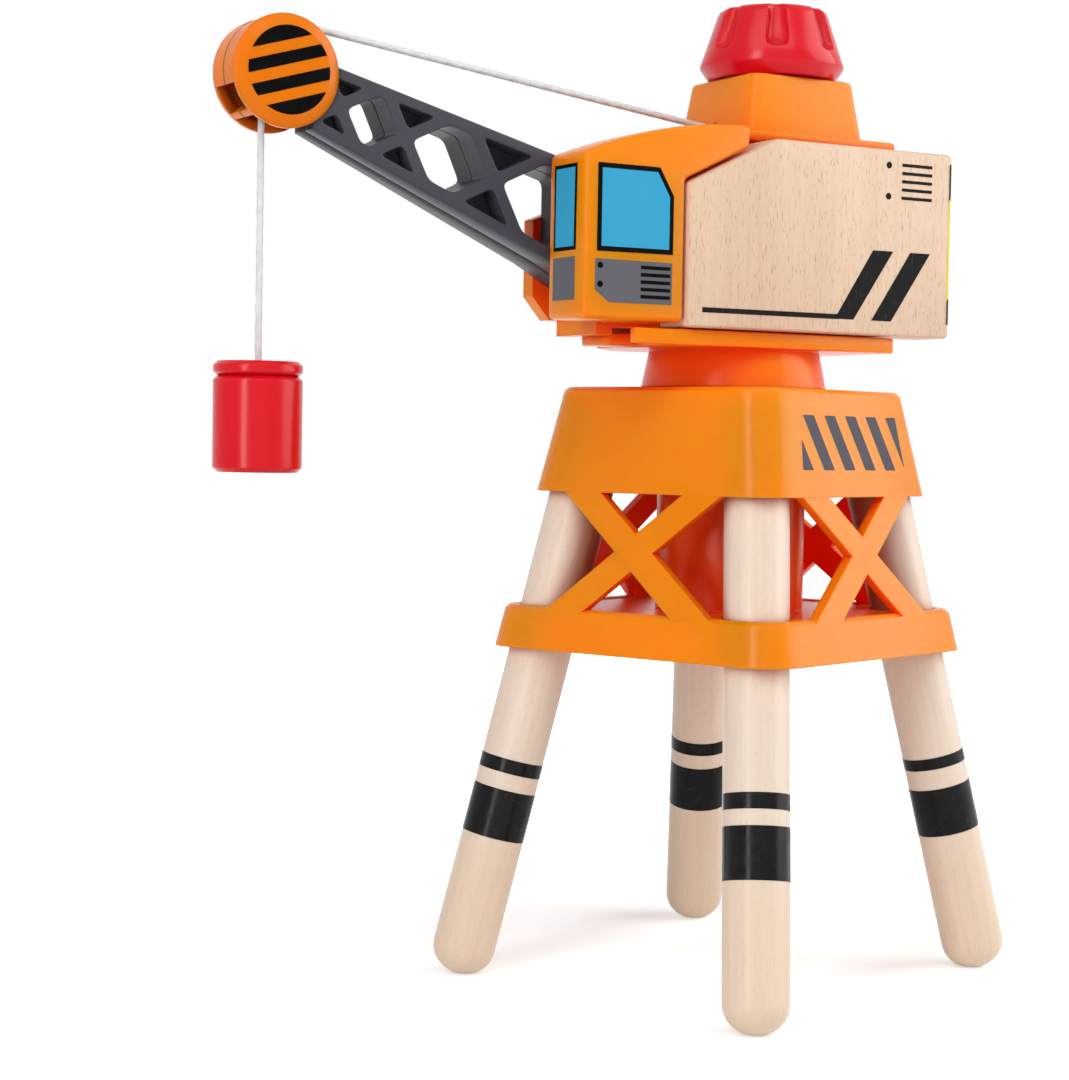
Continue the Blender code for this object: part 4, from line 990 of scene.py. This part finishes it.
class CRANE_OT_block_prints(bpy.types.Operator):
    """Print the lines, bars and dots on the wooden blocks, and the hazard stripes behind them"""

    bl_idname = "crane.block_prints"
    bl_label = "Block prints"

    def execute(self, context):
        shapes = [disc(spot, BLOCK_DOT_R) for spot in BLOCK_DOTS]
        shapes += line_rows(*BLOCK_LINES)
        shapes += BLOCK_BARS
        for name, hand in HANDS:
            work = bmesh.new()
            for shape in shapes:
                add_print(work, on_side(shape, BLOCK_FACE, hand))
            new_piece(f"block_marks_{name}", work, finish_for("black_on_wood"), "turret")
        for name, hand in HANDS:
            self.hazard(name, hand)
        return {"FINISHED"}

    def hazard(self, name, hand):
        """Yellow ground and black bars behind one block, and round its outer rear edge."""
        ground = bmesh.new()
        bars = bmesh.new()
        slope = Vector(HAZARD_SLOPE)
        path = vectors(HAZARD_PATH)
        reached = path[0].y
        for start, end in zip(path, path[1:]):
            way = (end - start).normalized()
            out = turret_way(-way.y, hand * way.x, 0)

            def on_path(point, start=start, way=way, out=out, before=reached):
                spot = start + way * (point[0] - before)
                return turret(spot.x, hand * spot.y, point[1]), out

            after = reached + (end - start).length
            field = vectors(rectangle(reached, after, *HAZARD_HEIGHTS))
            add_print(ground, [on_path(point) for point in field])
            for base in HAZARD_BARS:
                edge = Vector((HAZARD_BAR_EDGE, base))
                bar = clipped(field, edge, slope)
                bar = clipped(bar, edge + Vector((0, HAZARD_BAR_HEIGHT)), -slope)
                add_print(bars, [on_path(point) for point in bar], *OVER)
            reached = after
        new_piece(f"hazard_ground_{name}", ground, finish_for("hazard_print"), "turret")
        new_piece(f"hazard_bars_{name}", bars, finish_for("black_on_wood"), "turret")


class CRANE_OT_stripes(bpy.types.Operator):
    """Print the stripes on the tower's collar and on the head"""

    bl_idname = "crane.stripes"
    bl_label = "Stripes"

    def execute(self, context):
        slope = (COLLAR_HALF[1] - COLLAR_HALF[0]) / (COLLAR_Z[1] - COLLAR_Z[0])
        field = vectors(COLLAR_FIELD)
        across = Vector((COLLAR_HIGH - COLLAR_LOW, COLLAR_SHIFT)).normalized()
        for face, name in ((1, "right"), (-1, "left")):
            out = Vector((face, 0, -slope)).normalized()
            work = bmesh.new()
            for step in COLLAR_STEPS:
                start = Vector((COLLAR_FIRST + COLLAR_PITCH * step, COLLAR_HIGH))
                bar = clipped(field, start, across)
                bar = clipped(bar, start + Vector((COLLAR_STRIPE, 0)), -across)
                if len(bar) > 2:
                    points = []
                    for y, z in bar:
                        reach = COLLAR_HALF[0] + slope * (z - COLLAR_Z[0])
                        points.append((Vector((face * reach, face * y, z)) * MM, out))
                    add_print(work, points)
            new_piece(f"collar_stripes_{name}", work, finish_for("collar_print"), "tower")
        self.head()
        return {"FINISHED"}

    def head(self):
        normal = Vector((-sin(HEAD_LEAN), cos(HEAD_LEAN)))
        middle = Vector(DRUM)
        field = vectors(disc(DRUM, DRUM_FLAT_R - HEAD_MARGIN, steps=64))
        for name, hand in HANDS:
            work = bmesh.new()
            for low, high in HEAD_BARS:
                bar = clipped(field, middle + normal * low, normal)
                bar = clipped(bar, middle + normal * high, -normal)
                add_print(work, on_side(bar, DRUM_FACE, hand))
            new_piece(f"head_stripes_{name}", work, finish_for("black_on_plastic"), "jib")


class CRANE_PT_panel(bpy.types.Panel):
    """Crane's operators, colours and sizes"""

    bl_idname = "CRANE_PT_panel"
    bl_label = "Toy Tower Crane"
    bl_space_type = "VIEW_3D"
    bl_region_type = "UI"
    bl_category = "Crane"

    def draw(self, context):
        column = self.layout.column()
        for step in STEPS:
            column.operator(step.bl_idname)
        for owner in (context.scene.crane_colours, context.scene.crane_sizes):
            for name in owner.__annotations__:
                column.prop(owner, name)


STEPS = (
    CRANE_OT_stage,
    CRANE_OT_strings,
    CRANE_OT_mouldings,
    CRANE_OT_timber,
    CRANE_OT_cab_prints,
    CRANE_OT_block_prints,
    CRANE_OT_stripes,
)
CLASSES = (CraneColours, CraneSizes, *STEPS, CRANE_PT_panel)


def register():
    for each in CLASSES:
        bpy.utils.register_class(each)
    bpy.types.Scene.crane_colours = bpy.props.PointerProperty(type=CraneColours)
    bpy.types.Scene.crane_sizes = bpy.props.PointerProperty(type=CraneSizes)


def unregister():
    del bpy.types.Scene.crane_sizes
    del bpy.types.Scene.crane_colours
    for each in reversed(CLASSES):
        bpy.utils.unregister_class(each)


def main():
    register()
    for step in STEPS:
        area, call = step.bl_idname.split(".")
        getattr(getattr(bpy.ops, area), call)()


if __name__ == "__main__":
    main()
